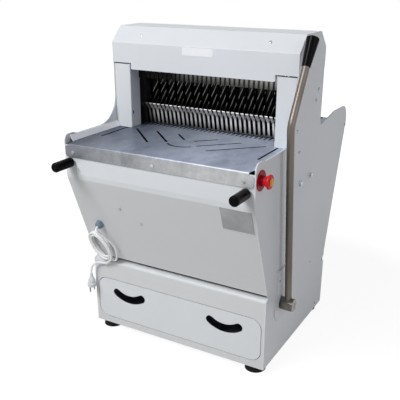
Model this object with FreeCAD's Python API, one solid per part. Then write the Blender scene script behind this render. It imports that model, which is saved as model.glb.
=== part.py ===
import FreeCAD, Part
import math
import os

V = FreeCAD.Vector

# Counter-top bread slicer, in millimetres.
# X runs to the right (the lever's side), Y to the back, Z up from the floor.
# While it is built, X = 0 is the machine's middle and Y = 0 the base's front face.

# Sheets, gaps and fits
side_sheet = 3.0        # outer side panels
cover_sheet = 1.5       # folded covers
table_sheet = 2.0       # stainless table and feed bed
seat_gap = 0.3          # between two bodies that lie beside each other
running_gap = 0.05      # radial, a shaft in its bush

# Outer casing
width = 555.0
foot_height = 18.5
base_depth = 447.5
base_top = 224.5        # where the base's front turns in under the sloping front
lip_back_y = 16.0       # the lip's end, behind the sloping front's lower edge
lip_back_z = 232.0
lip_round = 10.0
slope_foot_y = 4.7
slope_foot_z = 240.7
fold_y = -90.0
fold_z = 498.5
front_y = -92.0
table_z = 595.5
side_top = 611.5
nose_rise = 4.5
nose_length = 34.0
nose_slope = 16.0
throat_y = 135.0
post_curve = 79.0
hood_edge_z = 777.0
hood_fold_z = 831.0
hood_top_z = 872.5
hood_chamfer = 42.0
hood_rear_y = 322.5
ear_low_y = 334.0
ear_low_z = 622.5
ear_top_y = 508.0
ear_top_z = 640.0
ear_end_y = 559.5
ear_end_z = 591.5
back_step = 1.0
back_foot_z = 199.0
notch_z = 173.0
notch_depth = 25.0
notch_height = 18.0
vent_width = 5.0

# Throat, posts and table
side_room = 53.5        # from the throat to the side panel, where the frames' columns run
post_depth = 45.0
post_lip = 25.0
post_gap = 3.5          # open slit between a post's face and the hood's edge
peg_hole_up = 42.5      # above the table
tongue_drop = 17.0
tongue_half = 216.5
apron_drop = 37.3
apron_round = 9.0
apron_cut = 10.0
table_gap = 1.2         # beside each side panel
corner_cut_x = 13.0
corner_cut_y = 46.0
strip_width = 11.0
crumb_slot = 6.0
slot_end_gap = 5.0      # from the throat's front to the slots' back ends
side_slot_inset = 40.5  # from the side panel's inner face
side_slot_y = 13.0
arrow_tips = ((89.5, 19.5), (46.0, 46.0), (16.5, 87.5))
bow_r = 46.0
bow_y = 17.5            # front of the bow that joins the middle arrow's legs
bed_flange = 22.0
bed_end_gap = 12.0
bed_start_gap = 13.0
vent_count = 7
vent_half = 90.0
vent_low_z = 90.0
vent_pitch = 12.0

# Blades and their two frames
blade_margin = 9.0      # from the throat's side to the nearest place for a blade
blade_pitch = 14.0
blade_width = 12.0
blade_thickness = 0.6
blade_slot = 5.0        # slots of the table that the blades stand in
frame_mid_y = 235.0
frame_offset_y = 9.0
frame_depth = 10.0
frame_bar = 24.0
frame_column_gap = 7.0  # from the throat's side to the frame's column
frame_low_z = 535.0
frame_high_z = 800.0
frame_stroke = 15.0     # each way from the middle
clip_width = 9.0
clip_height = 8.0
table_comb_y = 191.0    # front end of the blade slots
frame_guide_low_z = 604.0
frame_guide_high_z = 764.0
guide_y = 178.0
guide_low_z = 732.0
guide_slot = 3.0

# Crank drive
crank_z = 330.0
crank_throw = 15.0
crank_x = 35.0
journal_r = 12.0
crank_pin_r = 9.0
web_r = 30.0
web_width = 8.0
rod_width = 12.0
small_end_z = 470.0
eye_r = 13.0
lug_width = 12.0
lug_depth = 24.0
lug_gap = 0.5           # the joint that stays open, between each lug's pin and its rod
shelf_z = 219.0
shelf_sheet = 4.0
shelf_flange = 26.0
shelf_front_y = 195.0
shelf_back_y = 440.0
pedestal_x = 78.0
pedestal_width = 26.0
pedestal_half = 24.0
pedestal_foot_half = 34.0
pedestal_foot = 12.0
pedestal_neck = 20.0
pulley_x = -116.0
pulley_width = 20.0
crank_pulley_r = 85.0
motor_pulley_r = 28.0
motor_y = 370.0
motor_height = 71.0
motor_r = 66.0
motor_start_x = -72.0
motor_length = 205.0
motor_flange = 12.0
motor_cowl = 48.0
motor_fins = 12
motor_fin = 2.4
motor_foot_half = 56.0
motor_foot_width = 30.0
motor_foot_height = 10.0
motor_box_half = 40.0
motor_box_length = 80.0
motor_box_height = 24.0
motor_shaft_r = 7.0
belt_width = 10.0
belt_height = 8.0

# Lever, its shaft and the pusher
lever_y = 97.0
lever_z = 180.5
shaft_r = 12.5
bush_wall = 4.0
bush_flange = 3.0
bush_flange_r = 24.0
hub_r = 18.0
hub_start_x = 281.5
hub_length = 36.5
hub_cap = 8.0
hub_screw_r = 4.5
rod_r = 9.25
lever_x = 300.5
bend_y = 43.5
bend_z = 676.0
bend_r = 45.0
grip_y = 118.0
grip_z = 803.5
grip_length = 74.0
grip_low_r = 10.8
grip_high_r = 16.0
grip_edge = 3.5
arm_sheet = 5.0
arm_x = 256.0
arm_half = 15.0
arm_boss_r = 20.0
plate_top_half = 28.5
plate_top_z = 283.0
plate_round_r = 43.5
cover_plate_sheet = 3.0
pusher_travel = 240.0
pusher_z = 540.0
bar_height = 24.0
bar_sheet = 6.0
bar_x = 265.0
bar_front_y = -55.0
bar_back_y = 292.0
drive_pin_r = 5.0
arm_slot_play = 2.4
rail_sheet = 3.0
rail_front_y = 60.0
rail_back_y = 536.0
carrier_y = 280.0
carrier_sheet = 3.0
beam_depth = 12.0
upright_top_z = 700.0
comb_gap = 1.0
carrier_top_z = 752.0
finger_gap = 1.0        # under the fingers
finger_y = 211.0
finger_kink_y = 201.0
finger_kink_up = 45.5   # above the table
finger_tip_y = 184.0
finger_tip_up = 64.5
finger_width = 6.0
lip_width = 9.0
finger_sheet = 2.0
rib_sheet = 2.0
rib_gap = 5.0
rib_top_z = 717.0
upright_inset = 13.0    # from the throat's side
upright_sheet = 6.0

# Drawer
drawer_half = 266.3
drawer_low_z = 40.0
drawer_high_z = 167.0
drawer_round = 30.0
drawer_gap = 1.7
drawer_rim = 14.0
tray_half = 238.0
tray_back_gap = 46.0    # to the back of the base
tray_low_z = 42.0
tray_high_z = 150.0
tray_sheet = 1.2
tray_front_z = 98.0
tray_flange = 12.0
runner_height = 30.0
runner_sheet = 3.0
smile_x = 157.0
smile_half = 43.3       # to the centres of its round ends
smile_width = 25.0
smile_low_z = 114.0     # its middle line, in the middle and at the ends
smile_high_z = 127.5

# Small parts on the outside
handle_inset = 18.5     # from the side panel's inner face
handle_down = 50.0      # below the table
handle_r = 13.0
handle_length = 66.0
handle_round = 6.0
stud_r = 6.0
stud_length = 4.0
nut_height = 5.0
foot_r = 29.0
foot_x = 241.0
foot_inset_y = 30.0
stop_inset = 27.5       # behind the front cover's face
stop_down = 24.5        # below the table
stop_base_r = 25.0
stop_base_height = 2.0
stop_neck_r = 11.0
stop_neck_length = 14.0
stop_collar_r = 13.0
stop_collar_height = 6.5
stop_sleeve_r = 10.5
stop_stem_r = 6.0
stop_head_r = 17.5
stop_head_height = 11.5
stop_cap_r = 9.0
stop_travel = 5.0
gland_x = -216.5
gland_down = 149.5      # from the fold, down the sloping front
gland_r = 12.5
gland_neck_r = 8.0
gland_length = 15.0
plate_sheet = 0.8
name_plate_x = -4.0
name_plate_z = 818.0
name_plate_width = 92.0
name_plate_height = 20.0
type_plate_x = 226.5
type_plate_down = 1.0
type_plate_width = 84.0
type_plate_height = 65.0

# Cord, its coil on the sloping front, and its plug
cord_r = 3.0
cord_exit = 9.5         # straight out of the gland
arc_share = 0.45        # of the shorter run beside a bend
coil_turns = 4
coil_pitch = 7.2
coil_layer = 7.0
coil_shift = 2.0        # how far the outer layer lies to the left of the inner one
coil_x = -232.5
coil_down = 228.5
coil_long_r = 52.0
coil_across_r = 33.5
coil_lean = 25.0
coil_tilt = 5.0         # its lower end stands off the sloping front, over the lip
# Free stretches: points from the gland (across, down, out) and from the plug's top (x, y, z).
cord_run_points = [
    (6, 8.5, 28.5), (15, 24, 23.5), (25.5, 45, 16), (33, 65, 11), (34.5, 85, 10.5), (33, 102.5, 11.5),
]
cord_tail_points = [(24, 8, 41), (9, 3, 33)]
plug_x = -279.9
plug_y = -17.0
plug_top_z = 178.0
plug_r = 13.0
plug_length = 42.0
pin_r = 2.4
pin_length = 16.0
pin_spacing = 19.0

half = width / 2
inner = half - side_sheet
throat_half = inner - side_room
table_half = inner - table_gap
back_foot_y = base_depth - back_step
tray_length = base_depth - cover_sheet - tray_back_gap
blade_count = 2 * int((throat_half - blade_margin) / blade_pitch) + 1
frame_column_x = throat_half + frame_column_gap + frame_bar / 2
upright_x = throat_half - upright_inset
peg_hole_z = table_z + peg_hole_up
side_slot_x = inner - side_slot_inset
slot_back_y = throat_y - slot_end_gap
handle_x = inner - handle_inset
handle_z = table_z - handle_down
stop_y = front_y + stop_inset
stop_z = table_z - stop_down
finger_low_z = table_z + finger_gap
finger_kink_z = table_z + finger_kink_up
finger_tip_z = table_z + finger_tip_up
rib_low_z = table_z + rib_gap
lid_y = throat_y + cover_sheet
bush_r = shaft_r + bush_wall
frame_ys = {"a": frame_mid_y - frame_offset_y, "b": frame_mid_y + frame_offset_y}
frame_sides = {"a": -1, "b": 1}
motor_z = shelf_z + motor_height
arm_rise = pusher_z - lever_z
arm_angle = math.degrees(math.atan(pusher_travel / 2 / arm_rise))
parts = {}


def box(x0, x1, y0, y1, z0, z1):
    """A box between two corners."""
    return Part.makeBox(x1 - x0, y1 - y0, z1 - z0, V(x0, y0, z0))


def cylinder(start, direction, radius, length):
    """A round bar from a point along a direction."""
    return Part.makeCylinder(radius, length, start, direction)


def fuse(shapes):
    """One solid, or one group of solids, out of many."""
    whole = shapes[0]
    if len(shapes) > 1:
        whole = whole.multiFuse(shapes[1:])
    return whole.removeSplitter()


def mirrored(shape):
    """The same piece on the machine's other side."""
    return shape.mirror(V(0, 0, 0), V(1, 0, 0))


def both_sides(shape):
    """A piece and its mirror image, as one group."""
    return Part.makeCompound([mirrored(shape), shape])


def corner_arc(before, corner, after, radius):
    """Start, middle and end of the arc that rounds one corner of an outline."""
    a = V(before - corner).normalize()
    b = V(after - corner).normalize()
    angle = a.getAngle(b)
    reach = radius / math.tan(angle / 2)
    middle = V(a + b).normalize()
    centre = corner + middle * (radius / math.sin(angle / 2))
    return corner + a * reach, centre - middle * radius, corner + b * reach


def rounded_wire(points, place):
    """Closed outline through (u, v) or (u, v, radius) points, with arcs at the corners."""
    corners = [place(point[0], point[1]) for point in points]
    edges = []
    first = None
    last = None
    for i, point in enumerate(points):
        radius = point[2] if len(point) > 2 else 0.0
        start = end = corners[i]
        if radius > 0:
            after = corners[(i + 1) % len(points)]
            start, middle, end = corner_arc(corners[i - 1], corners[i], after, radius)
        if last is not None and (start - last).Length > 1e-6:
            edges.append(Part.makeLine(last, start))
        if first is None:
            first = start
        if radius > 0:
            edges.append(Part.Arc(start, middle, end).toShape())
        last = end
    if (first - last).Length > 1e-6:
        edges.append(Part.makeLine(last, first))
    return Part.Wire(edges)


def plate_x(points, x0, x1):
    """A (y, z) outline drawn out from x0 to x1."""
    wire = rounded_wire(points, lambda u, v: V(x0, u, v))
    return Part.Face(wire).extrude(V(x1 - x0, 0, 0))


def plate_y(points, y0, y1):
    """An (x, z) outline drawn out from y0 to y1."""
    wire = rounded_wire(points, lambda u, v: V(u, y0, v))
    return Part.Face(wire).extrude(V(0, y1 - y0, 0))


def plate_z(points, z0, z1):
    """An (x, y) outline drawn out from z0 to z1."""
    wire = rounded_wire(points, lambda u, v: V(u, v, z0))
    return Part.Face(wire).extrude(V(0, 0, z1 - z0))


def folded(points, sheet):
    """Outline of a folded sheet on the left of a line of (u, v, inside radius) points."""
    normals = []
    for (u0, v0, _), (u1, v1, _) in zip(points, points[1:]):
        length = math.hypot(u1 - u0, v1 - v0)
        normals.append(((v0 - v1) / length, (u1 - u0) / length))
    near = []
    far = []
    for i, (u, v, radius) in enumerate(points):
        a = normals[max(i - 1, 0)]
        b = normals[min(i, len(normals) - 1)]
        share = sheet / (1 + a[0] * b[0] + a[1] * b[1])
        turns_left = a[0] * b[1] - a[1] * b[0] > 0
        near_radius = far_radius = 0.0
        if 0 < i < len(points) - 1 and radius > 0:
            near_radius = far_radius = radius
            if turns_left == (sheet > 0):
                near_radius += abs(sheet)
            else:
                far_radius += abs(sheet)
        near.append((u, v, near_radius))
        far.append((u + (a[0] + b[0]) * share, v + (a[1] + b[1]) * share, far_radius))
    return near + far[::-1]


def slot_z(start, end, slot_width, z0, z1):
    """A cutter for a straight slot with round ends, between two (x, y) points."""
    along = V(end[0] - start[0], end[1] - start[1], 0)
    r = slot_width / 2
    cutter = box(0, along.Length, -r, r, z0, z1)
    for x in (0, along.Length):
        cutter = cutter.fuse(cylinder(V(x, 0, z0), V(0, 0, 1), r, z1 - z0))
    cutter.rotate(V(0, 0, 0), V(0, 0, 1), math.degrees(math.atan2(along.y, along.x)))
    cutter.translate(V(start[0], start[1], 0))
    return cutter


slope_length = math.hypot(slope_foot_y - fold_y, slope_foot_z - fold_z)
slope_down = V(0, (slope_foot_y - fold_y) / slope_length, (slope_foot_z - fold_z) / slope_length)
slope_out = V(0, slope_down.z, -slope_down.y)


def on_slope(x, down, out=0.0):
    """A point on the sloping front: across, down from the fold, and out from its face."""
    return V(x, fold_y, fold_z) + slope_down * down + slope_out * out


# Casing


def side_outline():
    """The side panel's outline, as (y, z) points with corner radii."""
    lid = cover_sheet + 0.1
    return [
        (0, foot_height),
        (0, base_top, 2),
        (lip_back_y, lip_back_z),
        (slope_foot_y, slope_foot_z),
        (fold_y, fold_z, 8),
        (front_y, fold_z + 14, 8),
        (front_y, side_top + nose_rise, 16),
        (front_y + nose_length, side_top + nose_rise, 20),
        (front_y + nose_length + nose_slope, side_top, 20),
        (lid_y, side_top, post_curve),
        (lid_y, hood_fold_z - lid / 2),
        (throat_y + hood_chamfer + lid / 2, hood_top_z - lid),
        (hood_rear_y - hood_chamfer - lid / 2, hood_top_z - lid),
        (hood_rear_y - lid, hood_fold_z - lid / 2),
        (hood_rear_y - lid, ear_low_z, 10),
        (ear_low_y, ear_low_z),
        (ear_top_y - 70, ear_top_z, 90),
        (ear_top_y + 36, ear_top_z, 34),
        (ear_end_y, ear_end_z + 12, 10),
        (ear_end_y, ear_end_z, 4),
        (back_foot_y, back_foot_z, 4),
        (back_foot_y, notch_z + notch_height / 2),
        (back_foot_y - notch_depth, notch_z, 3),
        (base_depth, notch_z - notch_height / 2),
        (base_depth, foot_height),
    ]


def make_side_panels():
    """Both outer walls, with the holes that the shaft and the stop switch pass through."""
    panel = plate_x(side_outline(), inner, half)
    reach = side_sheet + 2
    panel = panel.cut(cylinder(V(inner - 1, lever_y, lever_z), V(1, 0, 0), bush_r, reach))
    parts["left_side_panel"] = mirrored(panel)
    stop_hole = cylinder(V(inner - 1, stop_y, stop_z), V(1, 0, 0), stop_neck_r, reach)
    parts["right_side_panel"] = panel.cut(stop_hole)


def make_hood():
    """The folded hood, with a tongue that reaches down between the posts."""
    line = [
        (throat_y, hood_edge_z, 0),
        (throat_y, hood_fold_z, 1.5),
        (throat_y + hood_chamfer, hood_top_z, 1.5),
        (hood_rear_y - hood_chamfer, hood_top_z, 1.5),
        (hood_rear_y, hood_fold_z, 1.5),
        (hood_rear_y, hood_edge_z, 0),
    ]
    shell = plate_x(folded(line, -cover_sheet), -half, half)
    low = hood_edge_z - tongue_drop
    tongue = [(-tongue_half, low, 4), (tongue_half, low, 4)]
    tongue += [(tongue_half, hood_edge_z + 1), (-tongue_half, hood_edge_z + 1)]
    front = plate_y(tongue, throat_y, lid_y)
    back = plate_y(tongue, hood_rear_y - cover_sheet, hood_rear_y)
    parts["hood"] = fuse([shell, front, back])


def post(face_y, inward):
    """A folded column: a face across the machine and a cheek along the throat."""
    outer = inner - seat_gap
    line = [
        (outer, face_y + inward * post_lip, 0),
        (outer, face_y, 1.5),
        (throat_half, face_y, 1.5),
        (throat_half, face_y + inward * post_depth, 0),
    ]
    column = plate_z(folded(line, -inward * cover_sheet), table_z, hood_fold_z - 8)
    y0, y1 = sorted((face_y - inward, face_y + inward * (post_lip + 1)))
    return column.cut(box(throat_half + cover_sheet, inner, y0, y1, hood_edge_z - post_gap, hood_fold_z))


def make_posts():
    """Two columns at the front of the throat and two at its back."""
    front = post(lid_y, 1)
    peg_y = throat_y + 12
    peg_hole = slot_z((peg_hole_z - 2, peg_y), (peg_hole_z + 2, peg_y), 6.5, 0, 10)
    peg_hole.rotate(V(0, 0, 0), V(0, 1, 0), -90)
    peg_hole.translate(V(throat_half + 5, 0, 0))
    front = front.cut(peg_hole)
    parts["right_front_post"] = front
    parts["left_front_post"] = mirrored(front)
    rear = post(hood_rear_y - cover_sheet, -1)
    parts["right_rear_post"] = rear
    parts["left_rear_post"] = mirrored(rear)


def crumb_slots(z0, z1):
    """The table's thin slots: nested arrows with their points to the operator."""
    slots = []
    for side in (-1, 1):
        x = side * side_slot_x
        slots.append(slot_z((x, side_slot_y), (x, slot_back_y), crumb_slot, z0, z1))
        for tip_x, tip_y in arrow_tips:
            end = (side * (tip_x + slot_back_y - tip_y), slot_back_y)
            slots.append(slot_z((side * tip_x, tip_y), end, crumb_slot, z0, z1))
    # The middle arrow's point is a bow of its own.
    centre_y = bow_y + bow_r
    ring = cylinder(V(0, centre_y, z0), V(0, 0, 1), bow_r + crumb_slot / 2, z1 - z0)
    ring = ring.cut(cylinder(V(0, centre_y, z0), V(0, 0, 1), bow_r - crumb_slot / 2, z1 - z0))
    reach = 2 * bow_r
    front = centre_y - reach * 0.82
    wedge = plate_z([(0, centre_y), (-reach, front), (reach, front)], z0, z1)
    slots.append(ring.common(wedge))
    return slots


def make_table():
    """The stainless front table: front flange, crumb slots, and a comb for the blades."""
    z0 = table_z - table_sheet
    edge_y = front_y - table_sheet
    line = [(lid_y - seat_gap, table_z, 0), (edge_y, table_z, 2), (edge_y, table_z - apron_drop, 0)]
    wide = plate_x(folded(line, table_sheet), -table_half, table_half)
    comb_end_y = frame_ys["b"] + blade_width / 2 + 12
    neck_half = throat_half - seat_gap
    neck = box(-neck_half, neck_half, lid_y - seat_gap - 5, comb_end_y, z0, table_z)
    table = wide.fuse(neck)
    cutters = crumb_slots(z0 - 1, table_z + 1)
    for i in range(blade_count):
        x = blade_x(i)
        start = (x, table_comb_y + blade_slot / 2)
        cutters.append(slot_z(start, (x, comb_end_y + 5), blade_slot, z0 - 1, table_z + 1))
    for side in (-1, 1):
        corner = [
            (side * (table_half - corner_cut_x), edge_y - 5),
            (side * (table_half + 1), edge_y - 5),
            (side * (table_half + 1), edge_y + corner_cut_y),
            (side * (table_half - 1), edge_y + corner_cut_y),
            (side * (table_half - corner_cut_x), edge_y + 4),
        ]
        cutters.append(plate_z(corner, z0 - 5, table_z + 1))
        notch = [
            (side * (table_half - corner_cut_x), table_z + 1),
            (side * (table_half + 1), table_z + 1),
            (side * (table_half + 1), table_z - apron_cut),
            (side * (table_half - corner_cut_x), table_z - 1),
        ]
        cutters.append(plate_y(notch, edge_y - 1, edge_y + table_sheet + 3))
        r = apron_round
        low = table_z - apron_drop
        x0, x1 = sorted((side * (table_half - r), side * (table_half + 1)))
        end = box(x0, x1, edge_y - 1, edge_y + table_sheet + 1, low - 1, low + r)
        bar = cylinder(V(side * (table_half - r), edge_y - 2, low + r), V(0, 1, 0), r, table_sheet + 4)
        cutters.append(end.cut(bar))
    parts["table_top"] = table.cut(Part.makeCompound(cutters)).removeSplitter()


def make_table_strips():
    """Bevelled strips that close the gap between the table and each side panel."""
    x1 = inner
    z0 = table_z
    outline = [
        (x1, side_top - 1),
        (x1 - 2, side_top - 1),
        (x1 - strip_width, z0 + 1.2),
        (x1 - strip_width, z0),
        (x1 - strip_width + 2, z0),
        (x1, side_top - 4),
    ]
    strip = plate_y(outline, front_y + 20, lid_y - seat_gap)
    parts["right_table_strip"] = strip
    parts["left_table_strip"] = mirrored(strip)


def make_front_panel():
    """The front cover: an upright band under the table and a long face that slopes in."""
    line = [
        (front_y, table_z - table_sheet - 3, 0),
        (front_y, fold_z + 14, 8),
        (fold_y, fold_z, 8),
        (slope_foot_y, slope_foot_z, 0),
    ]
    panel = plate_x(folded(line, cover_sheet), -inner, inner)
    start = on_slope(gland_x, gland_down, 2)
    panel = panel.cut(cylinder(start, -slope_out, gland_neck_r, 8))
    for side in (-1, 1):
        panel = panel.cut(cylinder(V(side * handle_x, front_y - 1, handle_z), V(0, 1, 0), stud_r, 5))
    parts["front_panel"] = panel


def drawer_outline(grow):
    """The drawer front's outline, made larger by a gap for its window."""
    w = drawer_half + grow
    low = drawer_low_z - grow
    high = drawer_high_z + grow
    r = drawer_round + grow
    return [(-w, low, r), (w, low, r), (w, high, r), (-w, high, r)]


def make_base():
    """The base's front bezel with its round top lip, and the floor plate."""
    line = [
        (0, foot_height, 0),
        (0, base_top, lip_round),
        (lip_back_y, lip_back_z, 0),
    ]
    bezel = plate_x(folded(line, -cover_sheet), -inner, inner)
    bezel = bezel.cut(plate_y(drawer_outline(drawer_gap), -1, 5))
    parts["base_bezel"] = bezel
    z1 = foot_height + 2.0
    y1 = back_foot_y - cover_sheet
    parts["base_floor"] = box(-inner, inner, cover_sheet, y1, foot_height, z1)


def make_feed_side():
    """The feed bed behind the blades, and the cover below it."""
    z0 = table_z - table_sheet
    start_y = frame_ys["b"] + blade_width / 2 + bed_start_gap
    end_y = ear_end_y - bed_end_gap
    neck_half = throat_half - seat_gap
    mouth_y = hood_rear_y + 2
    neck = box(-neck_half, neck_half, start_y, mouth_y + 5, z0, table_z)
    line = [(mouth_y, table_z, 0), (end_y, table_z, 2), (end_y, table_z - bed_flange, 0)]
    wide = plate_x(folded(line, -table_sheet), -inner + seat_gap, inner - seat_gap)
    bed = neck.fuse(wide)
    for side in (-1, 1):
        x = side * upright_x
        run = ((x, carrier_y + 2), (x, bar_back_y + pusher_travel + 4))
        bed = bed.cut(slot_z(run[0], run[1], upright_sheet + 4, z0 - 1, table_z + 1))
    parts["feed_bed"] = bed.removeSplitter()
    low_z = foot_height
    line = [
        (end_y + seat_gap, ear_end_z - 10, 0),
        (ear_end_y - 3, ear_end_z - 10, 2),
        (back_foot_y, back_foot_z, 4),
        (back_foot_y, low_z, 0),
    ]
    cover = plate_x(folded(line, -cover_sheet), -inner, inner)
    for i in range(vent_count):
        low = vent_low_z + vent_pitch * i
        high = low + vent_width
        w = vent_half
        vent = [(-w, low, 2.4), (w, low, 2.4), (w, high, 2.4), (-w, high, 2.4)]
        cover = cover.cut(plate_y(vent, back_foot_y - 4, back_foot_y + 2))
    parts["rear_panel"] = cover


# Blades, frames and their guides


def blade_x(i):
    """Middle of the slot of blade i, counted from the left."""
    return blade_pitch * (i - (blade_count - 1) / 2)


def blade_indices(name):
    """Every other blade belongs to the same frame."""
    return range(0 if name == "a" else 1, blade_count, 2)


def make_blade_frame(name):
    """One reciprocating frame with its blades, each held by a clip at both ends."""
    y = frame_ys[name]
    y0 = y - frame_depth / 2
    y1 = y + frame_depth / 2
    side = frame_sides[name]
    reach = frame_column_x + frame_bar / 2
    low0 = frame_low_z - frame_bar / 2
    low1 = frame_low_z + frame_bar / 2
    high0 = frame_high_z - frame_bar / 2
    high1 = frame_high_z + frame_bar / 2
    ring = box(-reach, reach, y0, y1, low0, high1)
    ring = ring.cut(box(-reach + frame_bar, reach - frame_bar, y0 - 1, y1 + 1, low1, high0))
    lug_x = side * (crank_x + rod_width / 2 + lug_gap)
    lug_edges = sorted((lug_x, lug_x + side * lug_width))
    w = lug_depth / 2
    low = small_end_z - w + 1
    lug = [(y0, low0 + 1), (y0, low0 - 8, 3), (y - w, low0 - 14, 3), (y - w, low, w - 2)]
    lug += [(y + w, low, w - 2), (y + w, low0 - 14, 3), (y1, low0 - 8, 3), (y1, low0 + 1)]
    lug_shape = plate_x(lug, lug_edges[0], lug_edges[1])
    clips = []
    blades = []
    for i in blade_indices(name):
        x = blade_x(i)
        for z0, z1 in ((low1, low1 + clip_height), (high0 - clip_height, high0)):
            clips.append(box(x - clip_width / 2, x + clip_width / 2, y0, y1, z0, z1))
        blades.append(blade(x, y, low1 + clip_height, high0 - clip_height))
    parts["blade_frame_" + name] = fuse([ring, lug_shape] + clips)
    parts["blades_" + name] = Part.makeCompound(blades)


def blade(x, y, z0, z1):
    """One thin blade between its clips."""
    t = blade_thickness / 2
    w = blade_width / 2
    return box(x - t, x + t, y - w, y + w, z0, z1)


def make_frame_guides():
    """Plastic blocks inside the posts, each with an upright channel for both frames."""
    x0 = throat_half + 1.5
    z0 = frame_guide_low_z
    z1 = frame_guide_high_z
    outer = frame_column_x + frame_bar / 2
    side_y = frame_offset_y + frame_depth / 2 + 7
    block = box(x0, inner, frame_mid_y - side_y, frame_mid_y + side_y, z0, z1)
    g = seat_gap
    for y in frame_ys.values():
        channel = box(
            outer - frame_bar - g, outer + g,
            y - frame_depth / 2 - g, y + frame_depth / 2 + g,
            z0 - 1, z1 + 1,
        )
        block = block.cut(channel)
    parts["right_frame_guide"] = block
    parts["left_frame_guide"] = mirrored(block)


def make_upper_guide():
    """A slotted stainless plate that steadies the blades above the loaf."""
    reach = throat_half - 0.05
    high = hood_fold_z - 12
    y1 = guide_y + cover_sheet
    plate = box(-reach, reach, guide_y, y1, guide_low_z, high)
    slots = []
    r = guide_slot / 2
    for i in range(blade_count):
        x = blade_x(i)
        slots.append(box(x - r, x + r, guide_y - 1, y1 + 1, guide_low_z - 1, high - 30))
    parts["upper_blade_guide"] = plate.cut(Part.makeCompound(slots))


# Crank drive


def make_crank():
    """The crankshaft with a crank for each frame, its belt pulley, and its two rods."""
    axis = V(0, frame_mid_y, crank_z)
    along = V(1, 0, 0)
    pieces = []
    pin_half = rod_width / 2 + 1
    end_x = pedestal_x + pedestal_width / 2 + 6
    start_x = pulley_x - pulley_width / 2 - 6
    runs = [
        (start_x, -crank_x - pin_half - web_width),
        (-crank_x + pin_half + web_width, crank_x - pin_half - web_width),
        (crank_x + pin_half + web_width, end_x),
    ]
    for x0, x1 in runs:
        pieces.append(cylinder(axis + V(x0 - 0.5, 0, 0), along, journal_r, x1 - x0 + 1))
    for name, side in frame_sides.items():
        x = side * crank_x
        pin = axis + V(x - pin_half - 1, side * crank_throw, 0)
        pieces.append(cylinder(pin, along, crank_pin_r, 2 * pin_half + 2))
        for x0 in (x - pin_half - web_width, x + pin_half):
            pieces.append(cylinder(axis + V(x0, 0, 0), along, web_r, web_width))
        parts["connecting_rod_" + name] = connecting_rod(name, x, side)
    parts["crankshaft"] = fuse(pieces)
    bore = journal_r
    parts["crank_pulley"] = pulley(axis + V(pulley_x, 0, 0), crank_pulley_r, bore)


def connecting_rod(name, x, side):
    """A flat rod from a crank pin up to its frame's lug, with an eye at each end."""
    y0 = frame_mid_y + side * crank_throw
    y1 = frame_ys[name]
    x0 = x - rod_width / 2
    along = V(1, 0, 0)
    big_r = crank_pin_r + 8
    lean = (y1 - y0) / (small_end_z - crank_z)
    shank = [
        (y0 - 8, crank_z),
        (y0 + 8, crank_z),
        (y0 + 6 + lean * (small_end_z - crank_z), small_end_z),
        (y0 - 6 + lean * (small_end_z - crank_z), small_end_z),
    ]
    rod = plate_x(shank, x0, x0 + rod_width)
    rod = rod.fuse(cylinder(V(x0, y0, crank_z), along, big_r, rod_width))
    rod = rod.fuse(cylinder(V(x0, y1, small_end_z), along, eye_r, rod_width))
    rod = rod.cut(cylinder(V(x0 - 1, y0, crank_z), along, crank_pin_r + running_gap, rod_width + 2))
    return rod.cut(cylinder(V(x0 - 1, y1, small_end_z), along, 6.0, rod_width + 2)).removeSplitter()


def pulley(centre, outer_r, bore_r):
    """A belt wheel: rims, a groove and a thinner web, turned about its axle."""
    w = pulley_width / 2
    g = belt_width / 2 + 0.3
    groove_r = outer_r - belt_height - 1
    hub = bore_r + 9
    profile = [(bore_r, -w), (hub, -w)]
    if groove_r - hub > 30:
        profile += [(hub, -3), (groove_r - 8, -3), (groove_r - 8, -w)]
    profile += [(outer_r, -w), (outer_r, -g - 1.2), (groove_r, -g), (groove_r, g), (outer_r, g + 1.2)]
    profile += [(outer_r, w)]
    if groove_r - hub > 30:
        profile += [(groove_r - 8, w), (groove_r - 8, 3), (hub, 3)]
    profile += [(hub, w), (bore_r, w)]
    points = [V(u, v, 0) for v, u in profile]
    face = Part.Face(Part.makePolygon(points + points[:1]))
    wheel = face.revolve(V(0, 0, 0), V(1, 0, 0), 360)
    wheel.translate(centre)
    return wheel


def make_drive_supports():
    """The shelf between the side panels, and the two bearing pedestals on it."""
    edge = inner
    y0 = shelf_front_y
    y1 = shelf_back_y
    low = shelf_z - shelf_flange
    line = [(y0, low, 0), (y0, shelf_z, 3), (y1, shelf_z, 3), (y1, low, 0)]
    parts["drive_shelf"] = plate_x(folded(line, -shelf_sheet), -edge, edge)
    pedestals = []
    w = pedestal_width / 2
    for x in (-pedestal_x, pedestal_x):
        foot = pedestal_foot_half
        r = pedestal_half
        right_side = [
            (foot, shelf_z, 0), (foot, shelf_z + pedestal_foot, 4),
            (r, shelf_z + pedestal_neck, 6), (r, crank_z + r, r - 2),
        ]
        outline = [(frame_mid_y + u, v, round_r) for u, v, round_r in right_side]
        outline += [(frame_mid_y - u, v, round_r) for u, v, round_r in right_side[::-1]]
        body = plate_x(outline, x - w, x + w)
        start = V(x - w - 1, frame_mid_y, crank_z)
        pedestals.append(body.cut(cylinder(start, V(1, 0, 0), journal_r + running_gap, 2 * w + 2)))
    parts["crank_bearings"] = Part.makeCompound(pedestals)


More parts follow.
